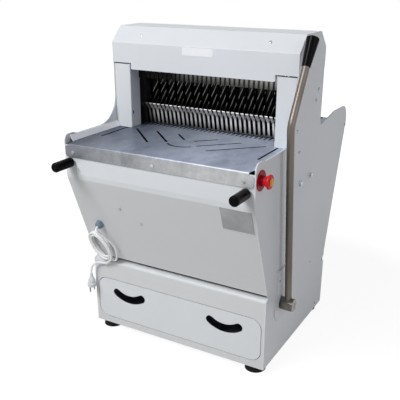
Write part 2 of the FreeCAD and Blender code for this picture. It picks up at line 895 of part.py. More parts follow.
def make_motor():
    """The foot-mounted motor with its fan cowl and terminal box, and its pulley."""
    along = V(1, 0, 0)
    x0 = motor_start_x
    x1 = x0 + motor_length
    start = V(x0, motor_y, motor_z)
    body = cylinder(start, along, motor_r - 3, motor_length)
    flange = cylinder(start, along, motor_r, motor_flange)
    cowl_x = x1 - motor_cowl
    cowl = cylinder(V(cowl_x, motor_y, motor_z), along, motor_r, motor_cowl)
    cowl = cowl.makeFillet(6, [cowl.Edges[i] for i in edges_at_x(cowl, x1)])
    pieces = [body, flange, cowl]
    for i in range(motor_fins):
        fin = box(x0 + motor_flange, cowl_x, -motor_fin / 2, motor_fin / 2, motor_r - 8, motor_r)
        fin.rotate(V(0, 0, 0), along, 360 / motor_fins * i)
        fin.translate(V(0, motor_y, motor_z))
        pieces.append(fin)
    w = motor_foot_width / 2
    y = motor_foot_half
    for x in (x0 + motor_flange + 3 + w, cowl_x - 7 - w):
        pieces.append(box(x - w, x + w, motor_y - y, motor_y + y, shelf_z, shelf_z + motor_foot_height))
        neck_top = motor_z - motor_r * 0.6
        pieces.append(box(x - w * 0.8, x + w * 0.8, motor_y - y * 0.7, motor_y + y * 0.7, shelf_z, neck_top))
    crown = motor_z + motor_r
    box_x = x0 + motor_box_half
    y = motor_box_half
    box_top = crown + motor_box_height
    pieces.append(box(box_x, box_x + motor_box_length, motor_y - y, motor_y + y, crown - 12, box_top))
    parts["motor"] = fuse(pieces)
    shaft_start = V(pulley_x - pulley_width / 2, motor_y, motor_z)
    shaft = cylinder(shaft_start, along, motor_shaft_r, x0 - seat_gap - shaft_start.x)
    wheel = pulley(V(pulley_x, motor_y, motor_z), motor_pulley_r, motor_shaft_r)
    parts["motor_pulley"] = wheel.fuse(shaft).removeSplitter()


def edges_at_x(shape, x):
    """Indices of the round edges that lie in one plane across X."""
    found = []
    for i, edge in enumerate(shape.Edges):
        bounds = edge.BoundBox
        if abs(bounds.XMin - x) < 1e-6 and abs(bounds.XMax - x) < 1e-6:
            found.append(i)
    return found


def belt_loop(extra, x0, x1):
    """The solid inside the belt's run round both pulleys, at a radius above each groove."""
    r0 = crank_pulley_r - belt_height - 1 + extra
    r1 = motor_pulley_r - belt_height - 1 + extra
    dy = motor_y - frame_mid_y
    dz = motor_z - crank_z
    distance = math.hypot(dy, dz)
    heading = math.atan2(dz, dy)
    spread = math.acos((r0 - r1) / distance)
    points = []
    for sign in (1, -1):
        a = heading + sign * spread
        points.append((frame_mid_y + r0 * math.cos(a), crank_z + r0 * math.sin(a)))
        points.append((motor_y + r1 * math.cos(a), motor_z + r1 * math.sin(a)))
    quad = [points[0], points[1], points[3], points[2]]
    loop = plate_x(quad, x0, x1)
    along = V(1, 0, 0)
    loop = loop.fuse(cylinder(V(x0, frame_mid_y, crank_z), along, r0, x1 - x0))
    loop = loop.fuse(cylinder(V(x0, motor_y, motor_z), along, r1, x1 - x0))
    return loop.removeSplitter()


def make_belt():
    """The drive belt, a little clear of both grooves' floors."""
    x0 = pulley_x - belt_width / 2
    x1 = pulley_x + belt_width / 2
    outside = belt_loop(seat_gap + belt_height, x0, x1)
    inside = belt_loop(seat_gap, x0 - 1, x1 + 1)
    parts["drive_belt"] = outside.cut(inside)


# Lever and its shaft


def make_shaft():
    """The cross shaft, its two flanged bushes, and the hub at its right end."""
    along = V(1, 0, 0)
    start = V(-half, lever_y, lever_z)
    hub_bore = hub_length - hub_cap
    parts["lever_shaft"] = cylinder(start, along, shaft_r, half + hub_start_x + hub_bore)
    flange_x = inner - bush_flange
    bush = cylinder(V(flange_x, lever_y, lever_z), along, bush_flange_r, bush_flange)
    bush = bush.fuse(cylinder(V(flange_x, lever_y, lever_z), along, bush_r, half - flange_x))
    hole = cylinder(V(flange_x - 1, lever_y, lever_z), along, shaft_r + running_gap, half)
    parts["shaft_bearings"] = both_sides(bush.cut(hole).removeSplitter())
    hub_start = V(hub_start_x, lever_y, lever_z)
    hub = cylinder(hub_start, along, hub_r, hub_length)
    hub = hub.makeChamfer(1.5, [hub.Edges[i] for i in edges_at_x(hub, hub_start_x + hub_length)])
    hub = hub.cut(cylinder(hub_start, along, shaft_r, hub_bore))
    ring_start = hub_start + V(hub_length - 1.5, 0, 0)
    ring = cylinder(ring_start, along, hub_screw_r + 1.5, 2)
    hub = hub.cut(ring.cut(cylinder(ring_start, along, hub_screw_r, 2)))
    parts["lever_hub"] = hub


def lever_direction():
    """Directions of the lever's long lower run and of its short upper one."""
    low = V(0, bend_y - lever_y, bend_z - lever_z).normalize()
    high = V(0, grip_y - bend_y, grip_z - bend_z).normalize()
    return low, high


def make_lever():
    """The round lever, bent once, from its hub up to the grip."""
    low, high = lever_direction()
    centre = V(lever_x, lever_y, lever_z)
    bend = V(lever_x, bend_y, bend_z)
    top = V(lever_x, grip_y, grip_z)
    start, middle, end = corner_arc(centre, bend, top, bend_r)
    first = centre + low * (hub_r / 2)
    edges = [Part.makeLine(first, start), Part.Arc(start, middle, end).toShape(), Part.makeLine(end, top)]
    rod = tube(edges, rod_r)
    parts["lever_rod"] = rod.cut(cylinder(V(hub_start_x - 1, lever_y, lever_z), V(1, 0, 0), hub_r, hub_length + 2))
    parts["lever_grip"] = turned(grip_profile(), top, high)


def grip_profile():
    """Half section of the lever's tapered grip, as (radius, height) points with arcs."""
    r = grip_high_r
    n = grip_length
    e = grip_edge
    return [
        [(0, 0), (grip_low_r - 2, 0)],
        [(grip_low_r - 2, 0), (grip_low_r - 0.6, 0.6), (grip_low_r, 2)],
        [(grip_low_r, 2), (r, n - e)],
        [(r, n - e), (r - e * 0.25, n - e * 0.3), (r - e, n)],
        [(r - e, n), (0, n)],
        [(0, n), (0, 0)],
    ]


def turned(profile, start, direction):
    """A round piece from lines and arcs of its half section, set along a direction."""
    edges = []
    for points in profile:
        corners = [V(u, 0, v) for u, v in points]
        if len(corners) == 2:
            edges.append(Part.makeLine(corners[0], corners[1]))
        else:
            edges.append(Part.Arc(corners[0], corners[1], corners[2]).toShape())
    solid = Part.Face(Part.Wire(edges)).revolve(V(0, 0, 0), V(0, 0, 1), 360)
    turn = FreeCAD.Rotation(V(0, 0, 1), direction)
    solid.Placement = FreeCAD.Placement(start, turn)
    return Part.Solid(solid) if solid.ShapeType != "Solid" else solid


def polygon_profile(points):
    """Straight pieces of a half section, closed along the axis."""
    pairs = list(zip(points, points[1:] + points[:1]))
    return [[a, b] for a, b in pairs]


def make_arms():
    """The two hidden arms on the shaft; each has a slot for a pin of the pusher's carriage."""
    outer_slot_r = arm_rise / math.cos(math.radians(arm_angle)) + 1
    slot_half = drive_pin_r + arm_slot_play
    outline = [(-arm_half, 0), (arm_half, 0), (arm_half, outer_slot_r), (-arm_half, outer_slot_r)]
    along = V(1, 0, 0)
    arm = plate_x(outline, arm_x, arm_x + arm_sheet)
    arm = arm.fuse(cylinder(V(arm_x, 0, outer_slot_r), along, arm_half, arm_sheet))
    boss_length = inner - bush_flange - seat_gap - arm_x
    arm = arm.fuse(cylinder(V(arm_x, 0, 0), along, arm_boss_r, boss_length))
    slot = box(arm_x - 1, arm_x + arm_sheet + 1, -slot_half, slot_half, arm_rise - 1, outer_slot_r)
    for r in (arm_rise - 1, outer_slot_r):
        slot = slot.fuse(cylinder(V(arm_x - 1, 0, r), along, slot_half, arm_sheet + 2))
    arm = arm.cut(slot).cut(cylinder(V(arm_x - 1, 0, 0), along, shaft_r, boss_length + 2))
    arm = arm.removeSplitter()
    arm.rotate(V(0, 0, 0), along, arm_angle)
    arm.translate(V(0, lever_y, lever_z))
    parts["right_lever_arm"] = arm
    parts["left_lever_arm"] = mirrored(arm)


def make_cover_plate():
    """The shield-shaped plate round the hub."""
    half_outline = [
        (plate_top_half, plate_top_z, 4),
        (plate_top_half + 2, lever_z + 33, 9),
        (plate_round_r - 4, lever_z + 20, 9),
        (plate_round_r, lever_z - 20, 26),
        (plate_round_r - 18, lever_z - 47, 12),
    ]
    outline = [(lever_y - u, v, r) for u, v, r in half_outline]
    outline += [(lever_y + u, v, r) for u, v, r in half_outline[::-1]]
    plate = plate_x(outline, half, half + cover_plate_sheet)
    hole = cylinder(V(half - 1, lever_y, lever_z), V(1, 0, 0), shaft_r + 1, cover_plate_sheet + 2)
    parts["lever_cover_plate"] = plate.cut(hole)


# Pusher


def make_rails():
    """A channel on each side wall that carries the pusher's side bar."""
    low = pusher_z - bar_height / 2 - seat_gap
    high = pusher_z + bar_height / 2 + seat_gap
    web = bar_x + bar_sheet + seat_gap
    reach = bar_x - 3
    outline = [
        (inner, low - rail_sheet), (inner, high + rail_sheet),
        (reach, high + rail_sheet), (reach, high), (web, high),
        (web, low), (reach, low), (reach, low - rail_sheet),
    ]
    rail = plate_y(outline, rail_front_y, rail_back_y)
    parts["right_pusher_rail"] = rail
    parts["left_pusher_rail"] = mirrored(rail)


def make_carriage():
    """Side bars with their drive pins, the cross beam under the bed, and two uprights."""
    low = pusher_z - bar_height / 2
    high = pusher_z + bar_height / 2
    beam_y = bar_back_y - beam_depth
    pieces = [box(-bar_x, bar_x, beam_y, bar_back_y, low, high)]
    pin_y = lever_y - pusher_travel / 2
    for side in (-1, 1):
        x0, x1 = sorted((side * bar_x, side * (bar_x + bar_sheet)))
        pieces.append(box(x0, x1, bar_front_y, bar_back_y, low, high))
        pin_start = V(side * (arm_x - 1), pin_y, pusher_z)
        pieces.append(cylinder(pin_start, V(side, 0, 0), drive_pin_r, bar_x + bar_sheet - arm_x))
        x0, x1 = sorted((side * (upright_x - upright_sheet / 2), side * (upright_x + upright_sheet / 2)))
        pieces.append(box(x0, x1, carrier_y + carrier_sheet, bar_back_y, high - 1, upright_top_z))
    parts["pusher_carriage"] = fuse(pieces)


def make_finger():
    """One finger at X = 0: a rib from the carrier, a front strip and a flared lip."""
    t = finger_sheet
    back = finger_y + t
    kink = finger_kink_y + t
    ribs = [
        (back - 0.4, rib_low_z), (carrier_y + 1, rib_low_z), (carrier_y + 1, rib_top_z),
        (carrier_y - 20, rib_top_z - 19), (carrier_y - 35, rib_top_z - 32), (kink - 0.4, finger_kink_z),
    ]
    rib = plate_x(ribs, -rib_sheet / 2, rib_sheet / 2)
    strip = [
        (finger_y, finger_low_z), (back, finger_low_z),
        (kink, finger_kink_z), (finger_kink_y, finger_kink_z - 1),
    ]
    front = plate_x(strip, -finger_width / 2, finger_width / 2)
    lip = [
        (finger_kink_y, finger_kink_z - 1.5), (kink, finger_kink_z),
        (finger_tip_y + 1.4, finger_tip_z + 1), (finger_tip_y, finger_tip_z - 0.8),
    ]
    w0 = finger_width / 2
    w1 = lip_width / 2
    flare = [(-w0, kink), (w0, kink), (w1, finger_tip_y - 1), (-w1, finger_tip_y - 1)]
    top = plate_x(lip, -w1, w1).common(plate_z(flare, finger_kink_z - 5, finger_tip_z + 5))
    return fuse([rib, front, top])


def make_comb():
    """The carrier plate with a finger in each gap between two blades, and one outside each end."""
    reach = throat_half - comb_gap
    carrier = box(-reach, reach, carrier_y, carrier_y + carrier_sheet, rib_low_z, carrier_top_z)
    finger = make_finger()
    pieces = [carrier]
    for i in range(blade_count + 1):
        copy = finger.copy()
        copy.translate(V(blade_x(i) - blade_pitch / 2, 0, 0))
        pieces.append(copy)
    comb = fuse(pieces)
    parts["pusher_comb"] = comb.common(box(-reach, reach, 0, base_depth, 0, hood_top_z))


# Drawer


def smile(x, y0, y1):
    """A cutter for one finger slot: an arc of even width with round ends."""
    rise = smile_high_z - smile_low_z
    middle_r = (smile_half ** 2 + rise ** 2) / (2 * rise)
    turn = math.asin(smile_half / middle_r)
    w = smile_width / 2
    centre = V(x, y0, smile_low_z + middle_r)

    def spot(radius, angle):
        return centre + V(radius * math.sin(angle), 0, -radius * math.cos(angle))

    along = V(math.cos(turn), 0, math.sin(turn)) * w
    right_end = spot(middle_r, turn) + along
    left_end = spot(middle_r, -turn) + V(-along.x, 0, along.z)
    low_r = middle_r + w
    high_r = middle_r - w
    arcs = [
        (spot(low_r, -turn), spot(low_r, 0), spot(low_r, turn)),
        (spot(low_r, turn), right_end, spot(high_r, turn)),
        (spot(high_r, turn), spot(high_r, 0), spot(high_r, -turn)),
        (spot(high_r, -turn), left_end, spot(low_r, -turn)),
    ]
    wire = Part.Wire([Part.Arc(a, b, c).toShape() for a, b, c in arcs])
    return Part.Face(wire).extrude(V(0, y1 - y0, 0))


def make_drawer():
    """The crumb drawer: its front with a rim and two finger slots, its tray and its runners."""
    front = plate_y(drawer_outline(0), 0, drawer_rim)
    front = front.cut(plate_y(drawer_outline(-cover_sheet), cover_sheet, drawer_rim + 1))
    for side in (-1, 1):
        front = front.cut(smile(side * smile_x, -1, cover_sheet + 1))
    parts["drawer_front"] = front
    w = tray_half
    t = tray_sheet
    y0 = cover_sheet
    y1 = cover_sheet + tray_length
    flange = box(-w - tray_flange, w + tray_flange, y0, y1, tray_high_z - t, tray_high_z)
    outside = box(-w, w, y0, y1, tray_low_z, tray_high_z).fuse(flange)
    inside = box(-w + t, w - t, y0 + t, y1 - t, tray_low_z + t, tray_high_z + 1)
    low_front = box(-w - tray_flange - 1, w + tray_flange + 1, y0 - 1, y0 + t, tray_front_z, tray_high_z + 1)
    parts["drawer_tray"] = outside.cut(inside).cut(low_front).removeSplitter()
    top = tray_high_z - t - seat_gap
    foot = top - runner_height
    s = runner_sheet
    outline = [(inner, foot), (inner, top), (w + 4, top), (w + 4, top - s), (inner - s, top - s), (inner - s, foot)]
    runner = plate_y(outline, drawer_rim + 2, y1 + 20)
    parts["drawer_runners"] = both_sides(runner)


# Small parts on the outside


def make_stop_switch():
    """The stop switch: a round plate with its neck and collar, and a mushroom button."""
    along = V(1, 0, 0)
    centre = V(half, stop_y, stop_z)
    plate = cylinder(centre, along, stop_base_r, stop_base_height)
    plate = plate.makeChamfer(0.7, [plate.Edges[i] for i in edges_at_x(plate, half + stop_base_height)])
    neck = cylinder(centre - V(stop_neck_length, 0, 0), along, stop_neck_r, stop_neck_length)
    collar_end = stop_base_height + stop_collar_height
    collar = cylinder(centre, along, stop_collar_r, collar_end)
    bore = cylinder(centre - V(half, 0, 0), along, stop_stem_r + running_gap, half + stop_base_height + 1)
    recess_start = centre + V(stop_base_height, 0, 0)
    recess = cylinder(recess_start, along, stop_sleeve_r + running_gap, stop_collar_height + 1)
    parts["estop_base"] = fuse([plate, neck, collar]).cut(bore).cut(recess)
    # The button's sleeve and its head both stop clear of the collar when it is pushed in.
    sleeve_x = stop_base_height + stop_travel + seat_gap
    head_x = collar_end + stop_travel + seat_gap
    back = sleeve_x - head_x
    h = stop_head_height
    r = stop_head_r
    flare = stop_sleeve_r + 2
    profile = [
        [(0, -head_x), (stop_stem_r, -head_x)],
        [(stop_stem_r, -head_x), (stop_stem_r, back)],
        [(stop_stem_r, back), (stop_sleeve_r, back)],
        [(stop_sleeve_r, back), (stop_sleeve_r, 0)],
        [(stop_sleeve_r, 0), (flare, 0)],
        [(flare, 0), (flare + (r - flare) * 0.35, h * 0.32), (r, h * 0.52)],
        [(r, h * 0.52), (r, h - 2.5)],
        [(r, h - 2.5), (r - 0.7, h - 0.7), (r - 2.5, h)],
        [(r - 2.5, h), (stop_cap_r, h)],
        [(stop_cap_r, h), (stop_cap_r - 1, h + 0.8)],
        [(stop_cap_r - 1, h + 0.8), (0, h + 1.2)],
        [(0, h + 1.2), (0, -head_x)],
    ]
    parts["estop_button"] = turned(profile, centre + V(head_x, 0, 0), along)


def make_handles():
    """Two grips on the front, each on a stud with a nut behind the panel."""
    r = handle_r
    e = handle_round
    n = handle_length
    profile = [
        [(0, 0), (r - 3, 0)],
        [(r - 3, 0), (r - 0.9, 0.9), (r, 3)],
        [(r, 3), (r, n - e)],
        [(r, n - e), (r - e * 0.3, n - e * 0.3), (r - e, n)],
        [(r - e, n), (0, n)],
        [(0, n), (0, 0)],
    ]
    forward = V(0, -1, 0)
    start = V(handle_x, front_y - stud_length, handle_z)
    grip = turned(profile, start, forward)
    parts["right_handle_grip"] = grip
    parts["left_handle_grip"] = mirrored(grip)
    back_y = front_y + cover_sheet
    stud = cylinder(V(handle_x, back_y + nut_height, handle_z), forward, stud_r, nut_height + cover_sheet + stud_length)
    nut = cylinder(V(handle_x, back_y + nut_height, handle_z), forward, stud_r + 4, nut_height)
    parts["handle_studs"] = both_sides(stud.fuse(nut).removeSplitter())


def make_feet():
    """Four round rubber feet."""
    feet = []
    for y in (foot_inset_y, base_depth - foot_inset_y):
        for x in (-foot_x, foot_x):
            feet.append(Part.makeCone(foot_r, foot_r - 3, foot_height, V(x, y, 0)))
    parts["rubber_feet"] = Part.makeCompound(feet)


def make_gland():
    """The cord's gland on the sloping front, with its lock nut behind the sheet."""
    r = gland_r
    n = gland_length
    back = cover_sheet + 5
    profile = polygon_profile([
        (0, -back), (gland_neck_r + 3, -back), (gland_neck_r + 3, -cover_sheet),
        (gland_neck_r, -cover_sheet), (gland_neck_r, 0), (r, 0), (r, n * 0.4),
        (r - 1.5, n * 0.45), (r - 2, n * 0.75), (cord_r + 2, n), (0, n),
    ])
    parts["cable_gland"] = turned(profile, on_slope(gland_x, gland_down), slope_out)


def make_plates():
    """The bare name plate on the hood and the bare type plate on the sloping front."""
    w = name_plate_width / 2
    z0 = name_plate_z - name_plate_height / 2
    z1 = name_plate_z + name_plate_height / 2
    x = name_plate_x
    outline = [(x - w, z0, 1.5), (x + w, z0, 1.5), (x + w, z1, 1.5), (x - w, z1, 1.5)]
    parts["name_plate"] = plate_y(outline, throat_y - plate_sheet, throat_y)
    x0 = type_plate_x - type_plate_width / 2
    x1 = type_plate_x + type_plate_width / 2
    down = type_plate_down
    corners = [on_slope(x0, down), on_slope(x1, down)]
    corners += [on_slope(x1, down + type_plate_height), on_slope(x0, down + type_plate_height)]
    face = Part.Face(Part.makePolygon(corners + corners[:1]))
    parts["type_plate"] = face.extrude(slope_out * plate_sheet)


# Cord


def tube(edges, radius):
    """A round tube along lines and arcs that follow each other without a kink."""
    path = Part.Wire(edges)
    start = edges[0].valueAt(edges[0].FirstParameter)
    heading = edges[0].tangentAt(edges[0].FirstParameter)
    section = Part.Wire([Part.Circle(start, heading, radius).toShape()])
    return path.makePipeShell([section], True, False)


def leg_arc(start, corner, end):
    """The arc between two points that lie equally far from a corner, tangent to both legs."""
    leg = (start - corner).Length
    angle = (start - corner).getAngle(end - corner)
    if math.pi - angle < 1e-4:
        return Part.makeLine(start, end), None
    radius = leg * math.tan(angle / 2)
    a, middle, b = corner_arc(start, corner, end, radius)
    return Part.Arc(start, middle, end).toShape(), radius


def route(points, name):
    """Straight runs joined by arcs, each as large as the shorter run beside it allows."""
    edges = []
    radii = []
    last = points[0]
    for before, corner, after in zip(points, points[1:], points[2:]):
        back = before - corner
        ahead = after - corner
        reach = arc_share * min(back.Length, ahead.Length)
        start = corner + V(back).normalize() * reach
        end = corner + V(ahead).normalize() * reach
        edges.append(Part.makeLine(last, start))
        arc, radius = leg_arc(start, corner, end)
        edges.append(arc)
        radii.append(round(radius, 1))
        last = end
    edges.append(Part.makeLine(last, points[-1]))
    body = tube(edges, cord_r)
    length = sum(edge.Length for edge in edges)
    share = body.Volume / (math.pi * cord_r ** 2 * length)
    print(name, "length", round(length, 1), "radii", radii, "volume share", round(share, 4))
    return body


def biarc(p0, t0, p1, t1):
    """Two arcs from one point and heading to the next."""
    chord = p1 - p0
    both = t0 + t1
    a = 2 * (t0.dot(t1) - 1)
    b = chord.dot(both)
    leg = chord.dot(chord) / (2 * b)
    if abs(a) > 1e-9:
        leg = (b - math.sqrt(b * b - a * chord.dot(chord))) / a
    first = p0 + t0 * leg
    second = p1 - t1 * leg
    join = (first + second) * 0.5
    arcs = [leg_arc(p0, first, join), leg_arc(join, second, p1)]
    return [arc for arc, radius in arcs], [radius for arc, radius in arcs if radius]


lean = math.radians(coil_lean)
tilt = math.radians(coil_tilt)
lean_down = V(math.sin(lean), 0, 0) + slope_down * math.cos(lean)
coil_long = lean_down * math.cos(tilt) + slope_out * math.sin(tilt)
coil_across = V(math.cos(lean), 0, 0) - slope_down * math.sin(lean)
coil_step = slope_out * math.cos(tilt) - lean_down * math.sin(tilt)
coil_step = coil_step * coil_layer - coil_across * coil_shift
coil_centre = on_slope(coil_x, coil_down, cord_r + seat_gap + coil_long_r * math.sin(tilt))


def coil_node(i):
    """Centre line and heading at quarter turn i: a flat oval spiral in, a climb, and out again."""
    last = 4 * coil_turns
    angle = i * math.pi / 2
    inset = coil_pitch * min(i, last - i) / 4
    rate = coil_pitch / (2 * math.pi)
    if i == last / 2:
        rate = 0.0
    elif i > last / 2:
        rate = -rate
    climb = 2 / math.pi if i == last / 2 else 0.0
    layer = 0.5 if i == last / 2 else float(i > last / 2)
    long_r = coil_long_r - inset
    across_r = coil_across_r - inset
    c = math.cos(angle)
    s = math.sin(angle)
    point = coil_centre + coil_long * (long_r * c) - coil_across * (across_r * s)
    point += coil_step * layer
    heading = coil_long * (-long_r * s - rate * c) - coil_across * (across_r * c - rate * s)
    heading += coil_step * climb
    return point, heading.normalize()


def least_gap(edges):
    """Least distance between turns of a tube, surface to surface, from points on its path."""
    points = []
    along = 0.0
    for edge in edges:
        count = max(3, int(edge.Length / 2) + 1)
        for k, point in enumerate(edge.discretize(count)[:-1]):
            points.append((along + edge.Length * k / (count - 1), point))
        along += edge.Length
    least = 1e9
    for i, (s0, p0) in enumerate(points):
        for s1, p1 in points[i + 1:]:
            if s1 - s0 > 10 * cord_r:
                least = min(least, (p1 - p0).Length)
    return least - 2 * cord_r


def make_coil():
    """The cord's coil, one unbroken tube in two layers; returns its two ends."""
    nodes = [coil_node(i) for i in range(4 * coil_turns + 1)]
    start = nodes[0][0] - nodes[0][1] * (2 * cord_r)
    end = nodes[-1][0] + nodes[-1][1] * (2 * cord_r)
    edges = [Part.makeLine(start, nodes[0][0])]
    radii = []
    for (p0, t0), (p1, t1) in zip(nodes, nodes[1:]):
        arcs, sizes = biarc(p0, t0, p1, t1)
        edges += arcs
        radii += sizes
    edges.append(Part.makeLine(nodes[-1][0], end))
    body = tube(edges, cord_r)
    length = sum(edge.Length for edge in edges)
    share = body.Volume / (math.pi * cord_r ** 2 * length)
    print("coil length", round(length, 1), "least radius", round(min(radii), 1),
          "least gap", round(least_gap(edges), 2), "volume share", round(share, 4))
    parts["cord_coil"] = body
    return (start, nodes[0][1]), (end, nodes[-1][1])


def make_cord():
    """The cord from its gland through the coil to the plug."""
    (coil_start, heading_in), (coil_end, heading_out) = make_coil()
    nose = on_slope(gland_x, gland_down, gland_length)
    run = [nose, nose + slope_out * cord_exit]
    run += [on_slope(gland_x + x, gland_down + down, out) for x, down, out in cord_run_points]
    run += [coil_start - heading_in * 14, coil_start]
    parts["cord_run"] = route(run, "cord run")
    plug_top = V(plug_x, plug_y, plug_top_z)
    tail = [coil_end, coil_end + heading_out * 16]
    tail += [plug_top + V(x, y, z) for x, y, z in cord_tail_points]
    tail += [plug_top + V(0, 0, 15), plug_top]
    parts["cord_tail"] = route(tail, "cord tail")
    make_plug(plug_top)


def make_plug(top):
    """The two-pin plug, which hangs with its pins down."""
    r = plug_r
    n = plug_length
    profile = polygon_profile([
        (0, 0), (cord_r + 1.5, 0), (cord_r + 3, 12), (r * 0.62, 15), (r * 0.85, 24),
        (r * 0.85, n - 13), (r, n - 11), (r, n - 2), (r - 2, n), (0, n),
    ])
    body = turned(profile, top, V(0, 0, -1))
    pins = [body]
    for side in (-1, 1):
        pins.append(cylinder(top + V(0, side * pin_spacing / 2, -n + 1), V(0, 0, -1), pin_r, pin_length + 1))
    parts["plug"] = fuse(pins)


# Everything, moved so that the origin is the bottom middle of the machine


def make_all():
    """Every piece of the machine."""
    make_side_panels()
    make_hood()
    make_posts()
    make_table()
    make_table_strips()
    make_front_panel()
    make_base()
    make_feed_side()
    for name in frame_ys:
        make_blade_frame(name)
    make_frame_guides()
    make_upper_guide()
    make_crank()
    make_drive_supports()
    make_motor()
    make_belt()
    make_shaft()
    make_lever()
    make_arms()
    make_cover_plate()
    make_rails()
    make_carriage()
    make_comb()
    make_drawer()
    make_stop_switch()
    make_handles()
    make_feet()
    make_gland()
    make_plates()
    make_cord()


make_all()
os.makedirs("parts", exist_ok=True)
front_end = front_y - stud_length - handle_length
middle = V((hub_start_x + hub_length - half) / 2, (front_end + ear_end_y) / 2, 0)
for name, shape in parts.items():
    shape.translate(-middle)
    shape.exportStep("parts/" + name + ".step")
print(len(parts), "pieces, origin at", round(middle.x, 2), round(middle.y, 2))
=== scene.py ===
# %% [markdown]
# # A bread slicer for a bakery counter
# This machine cuts a whole loaf at once. The loaf lies on the feed bed behind the blades, the lever
# pulls a comb that pushes it through thirty-one upright blades, and the slices come out over the steel
# table in front. Crumbs fall through the slots of the table into the drawer.
#
# The lesson dresses a finished CAD model. The model comes in as a fixed frame: nothing of it is moved
# here. Every finish is a small tree of nodes, and every new piece is a surface worked out with numpy.

# %% Load the frame
import math

import bmesh
import bpy
import numpy as np
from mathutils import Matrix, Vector


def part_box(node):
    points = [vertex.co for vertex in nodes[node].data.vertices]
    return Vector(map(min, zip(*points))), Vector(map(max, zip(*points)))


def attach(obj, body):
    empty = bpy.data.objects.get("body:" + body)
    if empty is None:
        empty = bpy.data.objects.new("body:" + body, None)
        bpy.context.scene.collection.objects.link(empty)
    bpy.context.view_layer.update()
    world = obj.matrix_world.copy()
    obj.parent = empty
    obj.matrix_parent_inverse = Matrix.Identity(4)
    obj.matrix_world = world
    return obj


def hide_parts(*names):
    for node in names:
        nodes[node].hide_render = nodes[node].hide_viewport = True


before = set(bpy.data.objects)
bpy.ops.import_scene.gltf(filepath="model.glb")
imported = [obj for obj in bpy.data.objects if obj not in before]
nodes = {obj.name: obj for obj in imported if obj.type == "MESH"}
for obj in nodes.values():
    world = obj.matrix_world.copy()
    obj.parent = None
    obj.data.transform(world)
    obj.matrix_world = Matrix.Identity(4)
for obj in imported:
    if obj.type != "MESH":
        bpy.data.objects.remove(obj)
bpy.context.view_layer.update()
imported = len(bpy.data.materials)      # plain ones of the frame, which the finishes replace

# %% [markdown]
# ## Millimetres of the drawing
# The drawing of the machine counts in millimetres from the middle of the base's front edge, on the
# floor. The frame counts in metres from the bottom middle of the whole machine. One helper turns the
# first into the second, so that a size can be read here as it stands in the drawing.

# %% From drawing to frame
drawing_middle = np.array([20.25, 198.75, 0.0])
half_width = 277.5      # outer face of a side panel
front_y = -92.0         # upright band under the table
fold = np.array([0.0, -90.0, 498.5])
slope_foot = np.array([0.0, 4.7, 240.7])
slope_down = (slope_foot - fold) / np.linalg.norm(slope_foot - fold)
slope_out = np.array([0.0, slope_down[2], -slope_down[1]])


def at(points):
    """Metres in the frame for millimetres in the drawing: (point - middle) / 1000."""
    return (np.asarray(points, float) - drawing_middle) / 1000


def on_slope(x, down, out=0.0):
    """Fold point + across * x + down the slope * down + away from it * out, in millimetres."""
    return fold + np.array([x, 0.0, 0.0]) + slope_down * down + slope_out * out


print("sloping front runs", round(float(np.linalg.norm(slope_foot - fold)), 1), "mm down")

# %% [markdown]
# ## The camera
# The photograph was taken from the front right, a little above the table, with a fairly long lens. The
# upright edges of the machine lean towards each other downwards, which gives the camera's tilt, and the
# vanishing points of the width and the depth give the turn.

# %% Camera
camera = bpy.data.objects.new("camera", bpy.data.cameras.new("camera"))
bpy.context.scene.collection.objects.link(camera)
camera.data.lens = 56.69
camera.data.sensor_width = 36.0
camera.data.shift_x = 0.01
camera.data.shift_y = 0.06
camera.location = (0.81072, -1.52191, 1.01398)
camera.rotation_euler = (math.radians(68.11), 0.0, math.radians(29.91))
bpy.context.scene.camera = camera
print("camera stands", round(camera.location.length, 2), "m away")

# %% [markdown]
# ## The mains cord
# A white flex leaves the gland, drops into a loose oval coil that leans on the sloping front, and ends
# in a plug that hangs beside the base. One NURBS curve of order three carries it: its control points
# are the corners of the drawing's route, and the curve rounds them by itself, as a limp cord does. The
# coil is a flat spiral that winds in, steps out by one layer, and winds out again.

# %% Route of the cord
cord_radius = 3.0
gland = (-216.5, 149.5)         # across, down the slope
gland_length = 15.0
plug_top = np.array([-279.9, -17.0, 178.0])
# corners before the coil: across and down from the gland, and away from the slope
run_corners = [(6, 8.5, 28.5), (15, 24, 23.5), (25.5, 45, 16), (33, 65, 11),
               (34.5, 85, 10.5), (33, 102.5, 11.5)]
# corners after the coil: across, backwards and up from the plug's top
tail_corners = [(24, 8, 41), (9, 3, 33)]
# how far it goes straight: out of the gland, into the coil, out of the coil and into the plug
gland_straight, in_straight, out_straight, plug_straight = 9.5, 20.0, 22.0, 15.0

coil_turns, coil_pitch, coil_layer, coil_shift = 4, 7.2, 7.0, 2.0
coil_long_r, coil_across_r = 52.0, 33.5
coil_lean, coil_tilt = math.radians(25.0), math.radians(5.0)
coil_gap = 0.3                  # between the coil's nearest turn and the slope
lean_down = np.array([math.sin(coil_lean), 0, 0]) + slope_down * math.cos(coil_lean)
coil_long = lean_down * math.cos(coil_tilt) + slope_out * math.sin(coil_tilt)
coil_across = np.array([math.cos(coil_lean), 0, 0]) - slope_down * math.sin(coil_lean)
coil_out = slope_out * math.cos(coil_tilt) - lean_down * math.sin(coil_tilt)
coil_step = coil_out * coil_layer - coil_across * coil_shift
coil_middle = on_slope(-232.5, 228.5, cord_radius + coil_gap + coil_long_r * math.sin(coil_tilt))


